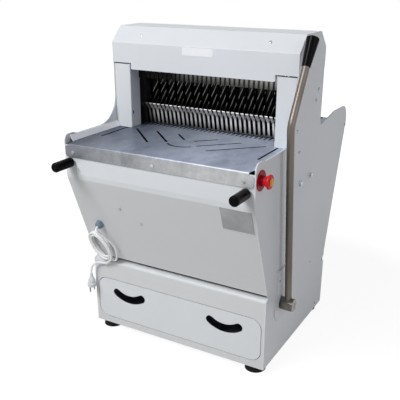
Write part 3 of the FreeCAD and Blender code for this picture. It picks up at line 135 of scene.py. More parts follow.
def coil_points(per_turn=16):
    """An oval spiral: middle + long axis * (R - inset) cos a - short axis * (r - inset) sin a.

    The inset grows by one pitch a turn up to half way and shrinks again after it. The second half
    lies one layer further out, and the step between the layers takes half a turn.
    """
    last = 2 * np.pi * coil_turns
    a = np.linspace(0, last, per_turn * coil_turns + 1)
    inset = coil_pitch * np.minimum(a, last - a) / (2 * np.pi)
    step = np.clip((a - last / 2) / np.pi + 0.5, 0, 1)
    layer = step * step * (3 - 2 * step)
    long_part = ((coil_long_r - inset) * np.cos(a))[:, None] * coil_long
    across_part = ((coil_across_r - inset) * np.sin(a))[:, None] * coil_across
    return coil_middle + long_part - across_part + layer[:, None] * coil_step


coil = coil_points()
nose = on_slope(*gland, gland_length)
run = [nose, nose + slope_out * gland_straight]
run += [on_slope(gland[0] + x, gland[1] + down, out) for x, down, out in run_corners]
heading_in = (coil[1] - coil[0]) / np.linalg.norm(coil[1] - coil[0])
heading_out = (coil[-1] - coil[-2]) / np.linalg.norm(coil[-1] - coil[-2])
tail = [coil[-1] + heading_out * out_straight]
tail += [plug_top + np.array(corner, float) for corner in tail_corners]
tail += [plug_top + np.array([0, 0, plug_straight]), plug_top]
route = at(np.vstack([run, [coil[0] - heading_in * in_straight], coil, tail]))
print("cord route has", len(route), "control points")


# %% The cord itself
def nurbs(name, points, radius):
    """A curve of order three through its first and last control point, with a round section."""
    data = bpy.data.curves.new(name, "CURVE")
    data.dimensions = "3D"
    spline = data.splines.new("NURBS")
    spline.points.add(len(points) - 1)
    spline.points.foreach_set("co", np.column_stack([points, np.ones(len(points))]).ravel())
    spline.points.foreach_set("radius", np.full(len(points), radius))
    spline.order_u = 3
    spline.use_endpoint_u = True
    spline.resolution_u = 5
    data.bevel_depth = 1.0
    data.bevel_resolution = 5
    data.use_fill_caps = True
    made = bpy.data.objects.new(name, data)
    bpy.context.scene.collection.objects.link(made)
    return made


cord = nurbs("mains_cord", route, cord_radius / 1000)
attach(cord, "frame")
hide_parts("cord_run", "cord_coil", "cord_tail")

# %% [markdown]
# ## Sums on sockets
# A procedural finish is arithmetic on patterns. Blender writes it as Math nodes, which are slow to read
# in a script. A small class wraps an output socket, so that `1 - mask * 0.3` adds the nodes by itself.
# Everything else comes from one method that takes a node's type, its settings and its sockets.


# %% Wires and finishes
class Wire:
    """An output socket that takes part in sums: each operator adds one Math node."""

    def __init__(self, finish, socket):
        self.finish = finish
        self.socket = socket

    def out(self, name):
        """Another output of the same node."""
        return Wire(self.finish, self.socket.node.outputs[name])

    def __add__(self, other):
        return self.finish.math("ADD", self, other)

    def __sub__(self, other):
        return self.finish.math("SUBTRACT", self, other)

    def __rsub__(self, other):
        return self.finish.math("SUBTRACT", other, self)

    def __mul__(self, other):
        return self.finish.math("MULTIPLY", self, other)

    def __abs__(self):
        return self.finish.math("ABSOLUTE", self)

    __radd__ = __add__
    __rmul__ = __mul__


class Finish:
    """The tree of nodes of a new material, or of a new world."""

    def __init__(self, name, world=False):
        self.owner = (bpy.data.worlds if world else bpy.data.materials).new(name)
        self.owner.use_nodes = True
        self.tree = self.owner.node_tree
        self.tree.nodes.clear()

    def node(self, kind, settings=None, sockets=None):
        """Adds a node, sets it up, then fills its sockets with values or with other wires."""
        made = self.tree.nodes.new(kind)
        for key, value in (settings or {}).items():
            setattr(made, key, value)
        for key, value in (sockets or {}).items():
            if isinstance(key, int):
                socket = made.inputs[key]
            else:
                socket = next(s for s in made.inputs if s.name == key and s.enabled)
            if isinstance(value, Wire):
                self.tree.links.new(value.socket, socket)
            else:
                socket.default_value = value
        outputs = [s for s in made.outputs if s.enabled]
        return Wire(self, outputs[0]) if outputs else None

    def math(self, operation, *terms):
        """A Math node on wires or numbers."""
        return self.node("ShaderNodeMath", {"operation": operation}, dict(enumerate(terms)))

    def split(self, which):
        """The x, y and z of the Object coordinates in metres, of the Normal, or of another kind."""
        vector = self.node("ShaderNodeTexCoord").out(which)
        parts = self.node("ShaderNodeSeparateXYZ", {}, {"Vector": vector})
        return parts.out("X"), parts.out("Y"), parts.out("Z")

    def place(self, scale=(1, 1, 1), turn=(0, 0, 0)):
        """Object coordinates in metres, stretched and then turned."""
        spot = self.node("ShaderNodeTexCoord").out("Object")
        return self.node("ShaderNodeMapping", {},
                         {"Vector": spot, "Rotation": turn, "Scale": scale})

    def noise(self, where, scale, detail=2.0, rough=0.5):
        """Soft random bumps around 0.5, scale of them to a metre, with finer ones by the detail."""
        return self.node("ShaderNodeTexNoise", {},
                         {"Vector": where, "Scale": scale, "Detail": detail, "Roughness": rough})

    def between(self, share, first, second):
        """A colour that goes from first to second as share goes from 0 to 1."""
        return self.node("ShaderNodeMix", {"data_type": "RGBA"},
                         {"Factor": share, "A": first, "B": second})

    def spread(self, value, low, high):
        """The value stretched so that low becomes 0 and high becomes 1, and cut off outside."""
        return self.node("ShaderNodeMapRange", {"clamp": True},
                         {"Value": value, "From Min": low, "From Max": high})

    def shade(self, tone, roughness, height, depth, **fixed):
        """Closes the tree with one Principled shader, whose bumps are height * depth metres."""
        bump = self.node("ShaderNodeBump", {},
                         {"Height": height, "Distance": depth, "Strength": 1.0})
        sockets = {"Base Color": tone, "Roughness": roughness, "Normal": bump}
        sockets.update({key.replace("_", " "): value for key, value in fixed.items()})
        shader = self.node("ShaderNodeBsdfPrincipled", {}, sockets)
        self.node("ShaderNodeOutputMaterial", {}, {"Surface": shader})
        return self.owner


def colour(red, green, blue):
    """Linear colour of a screen colour in 0-255, where v is a channel's share of 255.

    Up to 0.04045 it is v / 12.92, and above that ((v + 0.055) / 1.055) ** 2.4.
    """
    v = np.array([red, green, blue]) / 255
    linear = np.where(v <= 0.04045, v / 12.92, ((v + 0.055) / 1.055) ** 2.4)
    return (*[float(c) for c in linear], 1.0)


def shaded(tone, share):
    """A linear colour times a share, still opaque."""
    return tuple(c * share for c in tone[:3]) + (1.0,)


print("middle grey of the screen is", round(colour(128, 128, 128)[0], 3), "in linear light")

# %% [markdown]
# ## Powder coat
# The casing is sheet steel with a baked powder coat. Close by, such a coat shows orange peel, a soft
# ripple about a millimetre apart. From further off it shows broad clouds, where wiping has left it a
# little duller. Both come from noise on the piece's own coordinates, so that they stay with the piece.
# The sloping front is one sheet with the upright band over it, and where it faces down it gets a greyer
# tone, painted shade, so its tone follows the direction of the face instead of a painted mask.


# %% Paint
def powder_coat(name, tone, dull=0.42, below=None):
    """Tone times 0.965 to 1, as 0.6 clouds + 0.4 wiped goes from 0.35 to 0.65.

    Faces that look down (normal z < -0.25) take the tone below, if one is given: painted shade.
    """
    f = Finish(name)
    spot = f.place()
    peel = f.noise(spot, 620, 2)
    clouds = f.noise(spot, 5.5, 3, 0.6)
    wiped = f.noise(f.place((1, 1, 0.35)), 24, 4, 0.65)
    worn = f.spread(clouds * 0.6 + wiped * 0.4, 0.35, 0.65)
    shown = f.between(worn, shaded(tone, 0.965), tone)
    if below:
        # painted shade: faces that look down get the greyer tone below
        normal_z = f.split("Normal")[2]
        shown = f.between(f.spread(normal_z, -0.25, -0.15), below, shown)
    return f.shade(shown, dull + 0.10 * worn, peel + wiped * 0.8, 0.00006)


casing_white = colour(229, 231, 234)
white_paint = powder_coat("white powder coat", casing_white)
# the front's greyer tone below is painted shade on the down-facing slope
front_paint = powder_coat("front powder coat", casing_white, below=colour(220, 221, 222))
bezel_paint = powder_coat("base powder coat", colour(221, 222, 223))
strip_paint = powder_coat("strip powder coat", colour(250, 251, 253), 0.36)
plate_paint = powder_coat("white powder coat, plate", colour(223, 225, 229), 0.36)
print("paints:", len(bpy.data.materials) - imported)

# %% [markdown]
# ## Steel
# Stainless sheet comes rolled and lightly brushed: long fine streaks in one direction, soft clouds of a
# blue and a warmer grey, and stray scratches across. A drawn rod has its streaks along its length, a
# turned piece round its axis, and galvanised sheet has flat crystals. An anisotropic shader would need
# a tangent on every piece, so one function makes the streaks: noise whose coordinates are multiplied
# by a small number along the grain and by a large one across it. The bare type plate is brushed foil.

# %% Brushed and galvanised steel
brush_depth = 0.00003           # metres


def brush_marks(f, grain):
    """Noise of object coordinates * grain: the axis with the small number is the grain's."""
    return f.noise(f.place(grain), 260, 3, 0.6)


def brushed(name, dark, light, grain, rough, cloud_scale, wave=(1, 1, 1), metallic=1.0):
    """Tone = 0.72 clouds + 0.28 streaks, between the dark and the light colour."""
    f = Finish(name)
    streaks = brush_marks(f, grain)
    clouds = f.noise(f.place(wave), cloud_scale, 3, 0.55)
    scratch = f.spread(f.noise(f.place((60, 4, 60), (0.2, 0.1, 0.7)), 14, 3, 0.6), 0.64, 0.72)
    tone = f.spread(clouds * 0.72 + streaks * 0.28, 0.36, 0.64)
    roughness = rough[0] + (rough[1] - rough[0]) * streaks + 0.08 * scratch
    return f.shade(f.between(tone, dark, light), roughness, streaks + scratch * 0.6, brush_depth,
                   Metallic=metallic)


def galvanised(name, dark, light):
    """Tone = 0.55 of a chance value for each crystal + 0.45 clouds."""
    f = Finish(name)
    crystal = f.node("ShaderNodeTexVoronoi", {}, {"Vector": f.place(), "Scale": 90.0}).out("Color")
    value = f.node("ShaderNodeSeparateColor", {}, {"Color": crystal})
    clouds = f.noise(f.place(), 14, 2)
    tone = f.between(value * 0.55 + clouds * 0.45, dark, light)
    return f.shade(tone, 0.42 + 0.16 * value, clouds, brush_depth, Metallic=1.0)


feed_steel = brushed("feed stainless", colour(132, 140, 160), colour(172, 180, 198),
                     (3, 0.2, 3), (0.36, 0.50), 7, wave=(1.4, 0.8, 0.8), metallic=0.35)
# painted shade: the blade steel is nearly black, for the shade under the hood
blade_steel = brushed("blade steel", colour(30, 30, 30), colour(62, 61, 60),
                      (6, 6, 0.5), (0.18, 0.30), 9, wave=(3, 1, 1))
rod_steel = brushed("lever steel", colour(86, 78, 72), colour(120, 111, 104),
                    (5, 5, 0.25), (0.32, 0.44), 12, wave=(1, 1, 0.3), metallic=0.6)
hub_steel = brushed("hub steel", colour(72, 68, 63), colour(150, 144, 136),
                    (0.6, 6, 6), (0.14, 0.26), 40, metallic=0.55)
bolt_steel = brushed("bolt steel", colour(84, 86, 90), colour(190, 192, 196),
                     (4, 4, 4), (0.14, 0.24), 60, metallic=0.4)
screw_steel = brushed("screw steel", colour(158, 160, 164), colour(240, 242, 246),
                      (4, 4, 4), (0.12, 0.20), 60, metallic=0.3)
type_foil = brushed("type foil", colour(140, 142, 144), colour(164, 166, 168),
                    (0.3, 6, 6), (0.40, 0.52), 20, metallic=0.6)
shop_zinc = galvanised("galvanised sheet", colour(92, 96, 102), colour(150, 154, 160))
# painted shade: a darker copy of the galvanised sheet, for the parts seen in the throat under the hood
shaded_zinc = galvanised("galvanised sheet in painted shade", colour(58, 60, 64), colour(96, 98, 102))
print("paints and plain metals:", len(bpy.data.materials) - imported)

# %% [markdown]
# ## Steel with painted light and shade
# Three sheets get light and shade painted into their colour, and each gets a function of its own. The
# table's top is painted darker at the left and brighter at the right, and the walls of its cut slots are
# painted nearly black as shade. The comb is lit in front, painted with shade between its ribs and with a
# painted highlight along their upper edges. The blade guide is painted dark at each blade and bright
# between two, with painted shade at its left and at its lower edge. Painted masks could carry all this,
# but the coordinates and the direction of the face already say where it belongs.

# %% Table sheet
table_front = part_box("table_top")[0][1]
sheet_rough, streak_rough = 0.36, 0.14


def table_sheet(name):
    """Top: from the left's pair of tones to the right's as x goes from -0.26 to 0.06.

    The flange in front (normal z < 0.3) goes between plainer pairs as x goes from -0.31 to 0.10. Both
    changes are painted light and shade, darker at the left. Upright faces more than 8 mm behind the
    front are the walls of slots, in painted shade nearly black.
    """
    f = Finish(name)
    streaks = brush_marks(f, (3, 0.2, 3))
    clouds = f.noise(f.place((1.4, 0.8, 0.8)), 7.0, 4, 0.6)
    spots = f.noise(f.place((1, 0.6, 1)), 46.0, 3, 0.6)
    tone = f.spread(clouds * 0.52 + streaks * 0.22 + spots * 0.26, 0.36, 0.64)
    x, y, _ = f.split("Object")
    # painted light and shade: the top goes from dark at the left to bright at the right
    top = f.between(f.spread(x, -0.26, 0.06),
                    f.between(tone, colour(62, 70, 86), colour(94, 102, 118)),
                    f.between(tone, colour(154, 162, 184), colour(212, 220, 238)))
    # painted light and shade on the flange too, darker at the left
    flange = f.between(f.spread(x, -0.31, 0.10),
                       f.between(tone, colour(96, 99, 107), colour(142, 145, 153)),
                       f.between(tone, colour(156, 157, 159), colour(216, 217, 218)))
    # painted shade: the upright slot walls behind the front are nearly black
    slot_shade = f.spread(y, table_front + 0.006, table_front + 0.008)
    edge = f.between(slot_shade, flange, colour(14, 15, 18))
    shown = f.between(f.spread(f.split("Normal")[2], 0.3, 0.9), edge, top)
    return f.shade(shown, sheet_rough + streak_rough * streaks, streaks, brush_depth,
                   Metallic=0.35, Specular_IOR_Level=0.2)


table_steel = table_sheet("table stainless")
print("the table's front is at y", round(table_front, 4))

# %% Comb sheet
comb_back = 0.006               # y behind the front strips, in metres


def comb_sheet(name):
    """Lit strips in front of y = comb_back, painted shade on the flanks and carrier behind it.

    The strip at the far left (x < -0.228) is dark too, a painted shadow. The upper edges of the ribs
    (normal z > 0.5) take a painted highlight, more and more so from 20 to 50 mm behind the strips.
    """
    f = Finish(name)
    streaks = brush_marks(f, (8, 8, 0.4))
    clouds = f.noise(f.place((3, 1, 1)), 9.0, 3, 0.55)
    tone = f.spread(clouds * 0.6 + streaks * 0.4, 0.36, 0.64)
    x, y, _ = f.split("Object")
    # painted shadow on the far left strip; the others show the lit tone
    front_strips = f.between(f.spread(x, -0.228, -0.200), colour(40, 39, 38),
                      f.between(tone, colour(158, 155, 150), colour(208, 205, 200)))
    # painted shade on the flanks and the carrier behind the strips
    flank_shade = f.between(tone, colour(14, 14, 14), colour(34, 33, 32))
    behind = f.spread(y, comb_back, comb_back + 0.006)
    # painted highlight on the upper edges of the ribs, from 20 mm behind the strips on
    upper = f.spread(f.split("Normal")[2], 0.3, 0.5)
    edge_highlight = upper * f.spread(y, comb_back + 0.02, comb_back + 0.05)
    shown = f.between(edge_highlight, f.between(behind, front_strips, flank_shade), colour(252, 251, 248))
    return f.shade(shown, sheet_rough + streak_rough * streaks, streaks, brush_depth, Metallic=0.6)


comb_steel = comb_sheet("comb stainless")
print("the comb is dark behind y", comb_back)

# %% Blade guide
blade_pitch = 14.0              # millimetres from blade to blade, which is the slice
guide_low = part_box("upper_blade_guide")[0][2]


def slotted_guide(name):
    """Tone = 0.7 |sin(pi (x - middle) / pitch)| + 0.5 streaks: dark at a blade, bright between two.

    The bright tone grows to the right in two steps, and from a quarter at the lower edge to all of
    it 30 mm up: painted shade at the left and at the lower edge.
    """
    f = Finish(name)
    streaks = brush_marks(f, (8, 8, 0.5))
    x, _, z = f.split("Object")
    middle_x = float(at((0, 0, 0))[0])
    # painted shade at each blade, lit between two
    strip = abs(f.math("SINE", (x - middle_x) * (np.pi / (blade_pitch / 1000))))
    # painted shade at the left and at the lower edge
    side = f.spread(x, -0.13, -0.08) * 0.5 + f.spread(x, -0.06, 0.18) * 0.5
    high = f.spread(z, guide_low + 0.004, guide_low + 0.030)
    tone = f.spread(strip * 0.7 + streaks * 0.5, 0.40, 0.95)
    bright = f.between(side, colour(8, 8, 8), colour(176, 174, 170))
    lit = f.between(0.25 + 0.75 * high, colour(20, 20, 20), bright)
    shown = f.between(tone, colour(16, 16, 17), lit)
    return f.shade(shown, 0.34 + streak_rough * streaks, streaks, brush_depth,
                   Metallic=0.5, Specular_IOR_Level=0.08)


guide_steel = slotted_guide("guide stainless")
print("the guide's lower edge is", round(guide_low, 4), "m up")

# %% [markdown]
# ## Plastics, rubber and cast iron
# Moulded grips are glossy and nearly black, with faint flow marks. The feet and the belt are dull
# rubber, and the cord and its plug soft white plastic. Cast pieces are painted over a sand-rough skin.
# They differ in tone, gloss and grain alone, so one function with a fine noise and a slow one does all.


# %% Moulded and cast
def moulded(name, tone, rough, grain, depth=0.00002, cloud=0.08, gleam=0.5):
    """Tone times 1 - 2 cloud to 1 along the flow marks, and bumps of fine grain + half the flow."""
    f = Finish(name)
    fine = f.noise(f.place(), grain, 2)
    flow = f.noise(f.place(), 34, 3, 0.6)
    shown = f.between(f.spread(flow, 0.3, 0.7), shaded(tone, 1 - 2 * cloud), tone)
    return f.shade(shown, rough + 0.12 * flow, fine + flow * 0.5, depth, Specular_IOR_Level=gleam)


black_grip = moulded("black grip", colour(5, 5, 6), 0.14, 500, gleam=0.05)
foot_rubber = moulded("foot rubber", colour(18, 18, 20), 0.66, 1500, 0.00006, gleam=0.15)
belt_rubber = moulded("belt rubber", colour(30, 30, 31), 0.72, 1800, 0.00006)
guide_plastic = moulded("guide plastic", colour(34, 35, 38), 0.50, 800)
cord_white = moulded("cord white", colour(250, 250, 250), 0.30, 600, 0.00004, 0.01)
plug_white = moulded("plug white", colour(224, 224, 227), 0.34, 600, 0.00004, 0.03)
stop_red = moulded("stop red", colour(224, 26, 44), 0.38, 400, cloud=0.05, gleam=0.22)
stop_dark_red = moulded("stop base red", colour(166, 14, 38), 0.34, 400, cloud=0.06, gleam=0.12)
stop_yellow = moulded("stop yellow", colour(248, 168, 24), 0.36, 400, cloud=0.04, gleam=0.22)
gland_grey = moulded("gland grey", colour(112, 128, 146), 0.36, 700, 0.00003, 0.06)
cast_iron = moulded("cast iron", colour(84, 90, 98), 0.55, 700, 0.00016, 0.10)
name_foil = moulded("name foil", colour(252, 252, 254), 0.30, 900, 0.00001, 0.01)
print("all finishes:", len(bpy.data.materials) - imported)

# %% [markdown]
# ## Finishes on the frame
# Each CAD piece keeps its shape and gets the finish of the real one. A table from finish to pieces is
# easier to check than a line for every piece.

# %% Assign the finishes
finishes = {
    white_paint: ["left_side_panel", "right_side_panel", "hood", "left_front_post",
                  "right_front_post", "left_rear_post", "right_rear_post", "rear_panel",
                  "drawer_front"],
    front_paint: ["front_panel"],
    bezel_paint: ["base_bezel"],
    strip_paint: ["left_table_strip", "right_table_strip"],
    plate_paint: ["lever_cover_plate"],
    table_steel: ["table_top"],
    feed_steel: ["feed_bed", "drawer_tray"],
    comb_steel: ["pusher_comb"],
    guide_steel: ["upper_blade_guide"],
    blade_steel: ["blades_a", "blades_b"],
    shop_zinc: ["base_floor", "drive_shelf", "drawer_runners", "left_lever_arm",
                "right_lever_arm"],
    shaded_zinc: ["left_pusher_rail", "right_pusher_rail", "pusher_carriage", "blade_frame_a",
                "blade_frame_b"],
    rod_steel: ["lever_rod"],
    hub_steel: ["lever_hub", "lever_shaft"],
    bolt_steel: ["crankshaft", "connecting_rod_a", "connecting_rod_b", "handle_studs"],
    cast_iron: ["crank_bearings", "motor", "crank_pulley", "motor_pulley"],
    guide_plastic: ["shaft_bearings", "left_frame_guide", "right_frame_guide"],
    black_grip: ["lever_grip", "left_handle_grip", "right_handle_grip"],
    belt_rubber: ["drive_belt"],
    foot_rubber: ["rubber_feet"],
    stop_dark_red: ["estop_base"],
    stop_red: ["estop_button"],
    gland_grey: ["cable_gland"],
    cord_white: ["cord_run", "cord_coil", "cord_tail", "plug"],
    name_foil: ["name_plate"],
    type_foil: ["type_plate"],
}
for material, names in finishes.items():
    for name in names:
        nodes[name].data.materials.clear()
        nodes[name].data.materials.append(material)
cord.data.materials.append(cord_white)
dressed = sum(len(names) for names in finishes.values())
print(dressed, "of", len(nodes), "CAD nodes have a finish")

# %% [markdown]
# ## Surfaces from arrays
# A new piece is a grid of points: one parameter runs along it and the other round it. The first helper
# joins neighbours to four-sided faces and closes every ring. Others lay copies beside each other, turn
# a half section round an axis and put it where the drawing says, and make the mesh, where the points
# that meet at a pole are merged.


# %% Grid helpers
def grid_faces(rows, columns):
    """Corners of every cell: (i, j), (i + 1, j), (i + 1, j + 1), (i, j + 1), with j in a ring."""
    this_row = np.arange(rows - 1)[:, None] * columns
    next_row = this_row + columns
    j = np.arange(columns)[None, :]
    k = (j + 1) % columns
    return np.stack([this_row + j, next_row + j, next_row + k, this_row + k], -1).reshape(-1, 4)


def copies(points, faces, places):
    """The same patch at many places: points + place, and faces counted on by the patch's size."""
    places = np.asarray(places, float)
    all_points = (points[None] + places[:, None]).reshape(-1, 3)
    offsets = np.arange(len(places)) * len(points)
    all_faces = (faces[None] + offsets[:, None, None]).reshape(-1, faces.shape[1])
    return all_points, all_faces


def joined(parts):
    """Several patches as one: the face numbers of each go on from the points before it."""
    offsets = np.cumsum([0] + [len(p) for p, f in parts[:-1]])
    return np.vstack([p for p, f in parts]), np.vstack([f + o for (p, f), o in zip(parts, offsets)])


def basis(axis):
    """Unit vectors x, y and z: z along the axis, x any level direction across it, y = z cross x."""
    z = np.asarray(axis, float) / np.linalg.norm(axis)
    x = np.cross(z, [0, 0, 1.0]) if abs(z[2]) < 0.9 else np.array([1.0, 0, 0])
    x = x / np.linalg.norm(x)
    return np.stack([x, np.cross(z, x), z])


def lathe(section, centre, axis, around, shape=None):
    """Turns (radius, height) pairs round an axis: (r cos a, r sin a, h), with r * shape(a, h)."""
    r, h = np.asarray(section, float).T[:, :, None]
    a = np.linspace(0, 2 * np.pi, around, endpoint=False)[None, :]
    scale = 1.0 if shape is None else shape(a, h)
    local = np.stack([r * scale * np.cos(a), r * scale * np.sin(a), h + 0 * a], -1)
    return at(local.reshape(-1, 3) @ basis(axis) + centre), grid_faces(len(h), around)


def piece(name, points, faces, material, body, slot, smooth=35.0):
    """A mesh in the frame: doubles merged, faces turned outwards, smooth below an angle."""
    mesh = bpy.data.meshes.new(name)
    mesh.from_pydata(points.tolist(), [], faces.tolist())
    work = bmesh.new()
    work.from_mesh(mesh)
    bmesh.ops.remove_doubles(work, verts=work.verts, dist=2e-6)
    bmesh.ops.dissolve_degenerate(work, edges=work.edges, dist=1e-6)
    bmesh.ops.recalc_face_normals(work, faces=work.faces)
    work.to_mesh(mesh)
    work.free()
    mesh.shade_smooth()
    mesh.set_sharp_from_angle(angle=math.radians(smooth))
    mesh.materials.append(material)
    made = bpy.data.objects.new(name, mesh)
    bpy.context.scene.collection.objects.link(made)
    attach(made, body)
    print(name, "has", len(mesh.polygons), "faces")
    return made


print("grid of 4 by 8 in a ring gives", len(grid_faces(4, 8)), "faces")

# %% [markdown]
# ## Screws
# The covers are held by small pan-head screws with a cross recess, and the carriage rails by hex bolts
# with washers. A screw head is a dome over a disc: its height falls with the square of the radius, and
# the cross is where the smaller of |x| and |y| is less than the width of the driver's blade. A
# Boolean would cut it too, but leaves long thin faces on each of some thirty heads.


# %% Screw heads
def pan_head(centre, normal, turn, radius=4.2, height=2.8):
    """z = h (1 - 0.35 (r / R)^2) on the dome, less 1.1 mm in the cross, and 0 on the last ring.

    The cross is where the smaller of |x| and |y| is under 0.15 R, within 0.6 R of the middle.
    """
    around = 32
    r = radius * np.array([0, 0.14, 0.22, 0.34, 0.46, 0.56, 0.64, 0.8, 0.93, 1.0, 1.0])[:, None]
    a = np.linspace(0, 2 * np.pi, around, endpoint=False)
    x, y = r * np.cos(a), r * np.sin(a)
    z = height * (1 - 0.35 * (r / radius) ** 2) + 0 * a
    in_cross = (np.minimum(abs(x), abs(y)) < 0.15 * radius) & (r < 0.6 * radius)
    z = np.where(in_cross, z - 1.1, z)
    z[-1] = 0.0
    c, s = math.cos(turn), math.sin(turn)
    local = np.stack([c * x - s * y, s * x + c * y, z], -1).reshape(-1, 3)
    return at(local @ basis(normal) + centre), grid_faces(len(r), around)


def hex_bolt(centre, normal, across=13.0, height=6.5):
    """A washer, then a hexagon of radius w / cos(a mod 60 deg - 30 deg), w = half across the flats.

    The hexagon is rounded off on top.
    """
    washer = 1.6

    def six(a, h):
        edge = 1 / np.cos(np.mod(a, np.pi / 3) - np.pi / 6)
        return np.where(h > washer, edge, 1.0)

    w = across / 2
    section = [(w * 1.35, 0), (w * 1.35, 1.3), (w * 1.28, washer), (w, washer + 0.01),
               (w, height - 0.8), (w * 0.93, height - 0.2), (w * 0.86, height), (0, height)]
    return lathe(section, np.asarray(centre, float), normal, 36, six)


print("a screw head has", len(pan_head((0, 0, 0), (0, -1, 0), 0)[1]), "faces before the merge")

# %% Every head at its place
# y and z on the side panels, and on the lever's cover plate
side_screws = [(288.3, 725.1), (272.3, 699), (150.1, 639.5), (170.8, 581), (549, 579.7),
               (394.9, 35), (320.6, 208.7)]
side_bolts = [(265.3, 494.2), (190.7, 491.5)]
cover_screws = [(82.7, 250.3), (126.8, 250.8), (67.8, 172.6), (126, 172)]
cover_thick, flange_thick = 3, 2
out_right = np.array([1.0, 0, 0])
forward = np.array([0, -1.0, 0])
hood_out = np.array([0, -1.0, 1.0])
heads = []
for i, (y, z) in enumerate(side_screws):
    heads += [pan_head((side * half_width, y, z), side * out_right, 0.5 * i) for side in (-1, 1)]
for y, z in side_bolts:
    heads += [hex_bolt((side * half_width, y, z), side * out_right) for side in (-1, 1)]
heads += [pan_head((half_width + cover_thick, y, z), out_right, y, 3.6, 2.4)
          for y, z in cover_screws]
heads += [pan_head((x, front_y - flange_thick, 571.5), forward, x, 4.4) for x in (-248, 0, 248)]
heads += [pan_head((side * 235, front_y, 526.6), forward, side, 4.0) for side in (-1, 1)]
heads += [pan_head(on_slope(x, down), slope_out, down, 4.4)
          for x, down in ((-126.9, 76.4), (-70.5, 115))]
heads += [pan_head((x, 156, 851.75), hood_out, x, 4.0) for x in (-191, 191)]
piece("cover_screws", *joined(heads), screw_steel, "frame", "bright_steel")

# %% [markdown]
# ## The blades
# A bread blade is a steel ribbon with a scalloped and ground front edge. The drawing has plain ribbons.
# Here each is swept upwards: five points of a section, back edge, two flanks, two ground faces that meet
# in the edge, while the edge moves in and out with the height. A bump could only pretend the scallops,
# and they show against the light.

# %% Scalloped blades
frame_ys = {"a": 226.0, "b": 244.0}
blade_low, blade_high = 555.0, 780.0
blade_count = 31
blade_half, ground_width, blade_width = 0.3, 3.2, 12.0


def blade_ribbon(y, pitch=9.0, depth=1.3):
    """Edge at front + depth * |cos(pi z / pitch)| ** 0.7, ground faces behind it, flat back."""
    z = np.linspace(blade_low, blade_high, 151)
    front = y - blade_width / 2
    edge = front + depth * abs(np.cos(np.pi * (z - blade_low) / pitch)) ** 0.7
    rows = [np.stack([0 * z, edge, z], -1)]
    for x, back in ((blade_half, ground_width), (blade_half, blade_width),
                    (-blade_half, blade_width), (-blade_half, ground_width)):
        rows.append(np.stack([0 * z + x, 0 * z + front + back, z], -1))
    return np.stack(rows, 1).reshape(-1, 3), grid_faces(len(z), len(rows))


for first, (name, y) in enumerate(frame_ys.items()):
    across = [blade_pitch * (i - (blade_count - 1) / 2) for i in range(first, blade_count, 2)]
    points, faces = copies(*blade_ribbon(y), [(x, 0, 0) for x in across])
    ribbons = piece("scalloped_blades_" + name, at(points), faces, blade_steel,
                    "frame_" + name, "blade_steel", 20.0)
    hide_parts("blades_" + name)

# %% [markdown]
# ## Gland and plug
# The gland is a hexagon under a fluted dome that clamps the cord. The plug is a round moulded body with
# finger ridges and two pins, whose roots are sleeved. All are lathe work, and the gland's radius also
# depends on the angle.

# %% Gland
hexagon_top, flutes_top = 6.1, 13.0


def gland_shape(a, h):
    """A hexagon up to 6 mm, and over it a dome with twelve flutes: 1 - 0.05 (1 + cos 12 a) / 2."""
    hexagon = math.cos(math.pi / 6) / np.cos(np.mod(a, np.pi / 3) - np.pi / 6)
    flutes = 1 - 0.05 * (1 + np.cos(12 * a)) / 2
    over = np.where(h < hexagon_top, hexagon, np.where(h < flutes_top, flutes, 1.0))
    return np.where(h < 0, 1.0, over)


gland_section = [(0, -6.5), (11, -6.5), (11, -1.5), (8, -1.5), (8, -0.01), (12.5, 0),
                 (12.5, 5.2), (11.8, 6.0), (10.9, 6.2), (11.1, 7.5), (10.8, 10), (9.8, 12.2),
                 (7.8, 13.8), (5.6, 14.7), (4.4, gland_length), (0, gland_length)]
gland_turned = lathe(gland_section, on_slope(*gland), slope_out, 72, gland_shape)
gland_piece = piece("gland", *gland_turned, gland_grey, "frame", "gland_grey")
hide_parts("cable_gland")

# %% Plug
down = np.array([0, 0, -1.0])
pin_side = 9.5                  # from the middle of the plug to a pin
plug_section = [(0, 0), (4.1, 0), (4.5, 2), (4.7, 5), (4.4, 5.6), (4.9, 7), (5.3, 10),
                (4.9, 10.7), (5.8, 12), (7.8, 14.6), (9.4, 18), (10.8, 22), (10.9, 23.2),
                (10.3, 24), (10.9, 24.8), (10.3, 26), (10.9, 27.2), (11.0, 29.2),
                (12.6, 30.4), (13.0, 31.6), (13.0, 39.4), (12.2, 41.4), (10.8, 42), (0, 42)]
pin_section = [(0, 41), (2.4, 41), (2.4, 48), (2.2, 48.3), (2.2, 56.5), (1.6, 57.7), (0, 58)]
plug = piece("plug_body", *lathe(plug_section, plug_top, down, 48),
             plug_white, "frame", "cord_white")
pin_parts = [lathe(pin_section, plug_top + np.array([0, side * pin_side, 0]), down, 20)
             for side in (-1, 1)]
pins = piece("plug_pins", *joined(pin_parts), bolt_steel, "frame", "cord_white")
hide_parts("plug")

# %% [markdown]
# ## The stop switch's cap
# The red mushroom has a yellow disc in its middle, a little raised, inside a red ring. A lathe gives it
# the soft edge of a pressed disc, which a flat circle wouldn't have.

# %% Yellow disc
stop_reach = 26.4               # from the side panel to the button's face
stop_face = np.array([half_width + stop_reach, -64.5, 571.0])
disc_section = [(9.4, -0.4), (9.4, 0.5), (9.0, 1.1), (7.4, 1.6), (4.0, 1.95), (0, 2.05)]
disc_turned = lathe(disc_section, stop_face, out_right, 40)
piece("stop_disc", *disc_turned, stop_yellow, "stop_button", "stop_red")

# %% [markdown]
# ## Floor, light and background
# The photograph has a white ground with hardly a shadow. White comes from what the camera sees, and not
# from more light: the floor and the world answer camera and mirror rays with white, and light the
# machine at a plain level. The main lamp stands high in front, and a wide dim one fills the right side.
# A low lamp reaches the comb and the blade guide deep under the hood, and lights nothing else.


